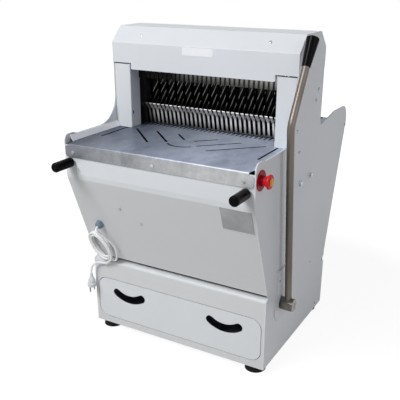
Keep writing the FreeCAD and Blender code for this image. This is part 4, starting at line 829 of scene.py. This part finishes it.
# %% Floor
def seen_rays(f):
    """The largest of three switches: 1 for camera, mirror and see-through rays, and else 0."""
    path = f.node("ShaderNodeLightPath")
    seen = f.math("MAXIMUM", path.out("Is Camera Ray"), path.out("Is Glossy Ray"))
    return f.math("MAXIMUM", seen, path.out("Is Transmission Ray"))


floor_half = 6.0
floor_glow = 1.15               # over 1, as only four fifths of it show near the machine
corner_signs = ((-1, -1), (1, -1), (1, 1), (-1, 1))
floor_corners = [(x * floor_half, y * floor_half, 0) for x, y in corner_signs]
floor_mesh = bpy.data.meshes.new("floor")
floor_mesh.from_pydata(floor_corners, [], [(0, 1, 2, 3)])
floor = bpy.data.objects.new("floor", floor_mesh)
bpy.context.scene.collection.objects.link(floor)

# near the machine a fifth of the floor stays matt and holds its shadow, up to 1.3 m away
f = Finish("pale floor")
spot = f.node("ShaderNodeTexCoord").out("Object")
away = f.node("ShaderNodeVectorMath", {"operation": "LENGTH"}, {0: spot})
near = f.spread(away, 1.3, 0.75)
matt = f.node("ShaderNodeBsdfDiffuse", {}, {"Color": (0.70, 0.68, 0.65, 1)})
glow = f.node("ShaderNodeEmission", {}, {"Color": (1, 1, 1, 1), "Strength": floor_glow})
mixed = f.node("ShaderNodeMixShader", {}, {0: seen_rays(f) * (1 - 0.20 * near), 1: matt, 2: glow})
f.node("ShaderNodeOutputMaterial", {}, {"Surface": mixed})
floor_mesh.materials.append(f.owner)
print("floor is", 2 * floor_half, "m wide")

# %% World
f = Finish("studio", world=True)
height = f.split("Generated")[2]
sky = f.between(f.spread(height, -0.2, 0.7), (1.0, 0.97, 0.93, 1), (0.88, 0.94, 1.0, 1))
fill = f.node("ShaderNodeBackground", {}, {"Color": sky, "Strength": 0.13})
white = f.node("ShaderNodeBackground", {}, {"Color": (1, 1, 1, 1), "Strength": 1.0})
mixed = f.node("ShaderNodeMixShader", {}, {0: seen_rays(f), 1: fill, 2: white})
f.node("ShaderNodeOutputWorld", {}, {"Surface": mixed})
bpy.context.scene.world = f.owner
print("world has", len(f.tree.nodes), "nodes")


# %% Lamps
def lamp(name, place, target, size, watts, tint):
    """A square area lamp that looks from its place to its target."""
    light = bpy.data.lights.new(name, "AREA")
    light.shape = "SQUARE"
    light.size = size
    light.energy = watts
    light.color = tint
    made = bpy.data.objects.new(name, light)
    made.location = place
    made.rotation_euler = (Vector(target) - Vector(place)).to_track_quat("-Z", "Y").to_euler()
    bpy.context.scene.collection.objects.link(made)
    return made


middle, deep = (0, 0, 0.45), (0, 0.05, 0.67)
lamp("main_lamp", (-1.0, -2.65, 3.2), middle, size=1.6, watts=115, tint=(0.96, 0.98, 1.0))
lamp("side_lamp", (2.8, -0.6, 1.6), middle, size=2.0, watts=16, tint=(0.90, 0.93, 1.0))
throat_lamp = lamp("throat_lamp", (0.05, -2.6, 1.02), deep, size=0.8, watts=30,
                   tint=(1.0, 0.99, 0.97))
throat = bpy.data.collections.new("throat parts")
for name in ("pusher_comb", "pusher_carriage", "upper_blade_guide"):
    throat.objects.link(nodes[name])
throat_lamp.light_linking.receiver_collection = throat
bpy.context.scene.view_settings.view_transform = "Standard"
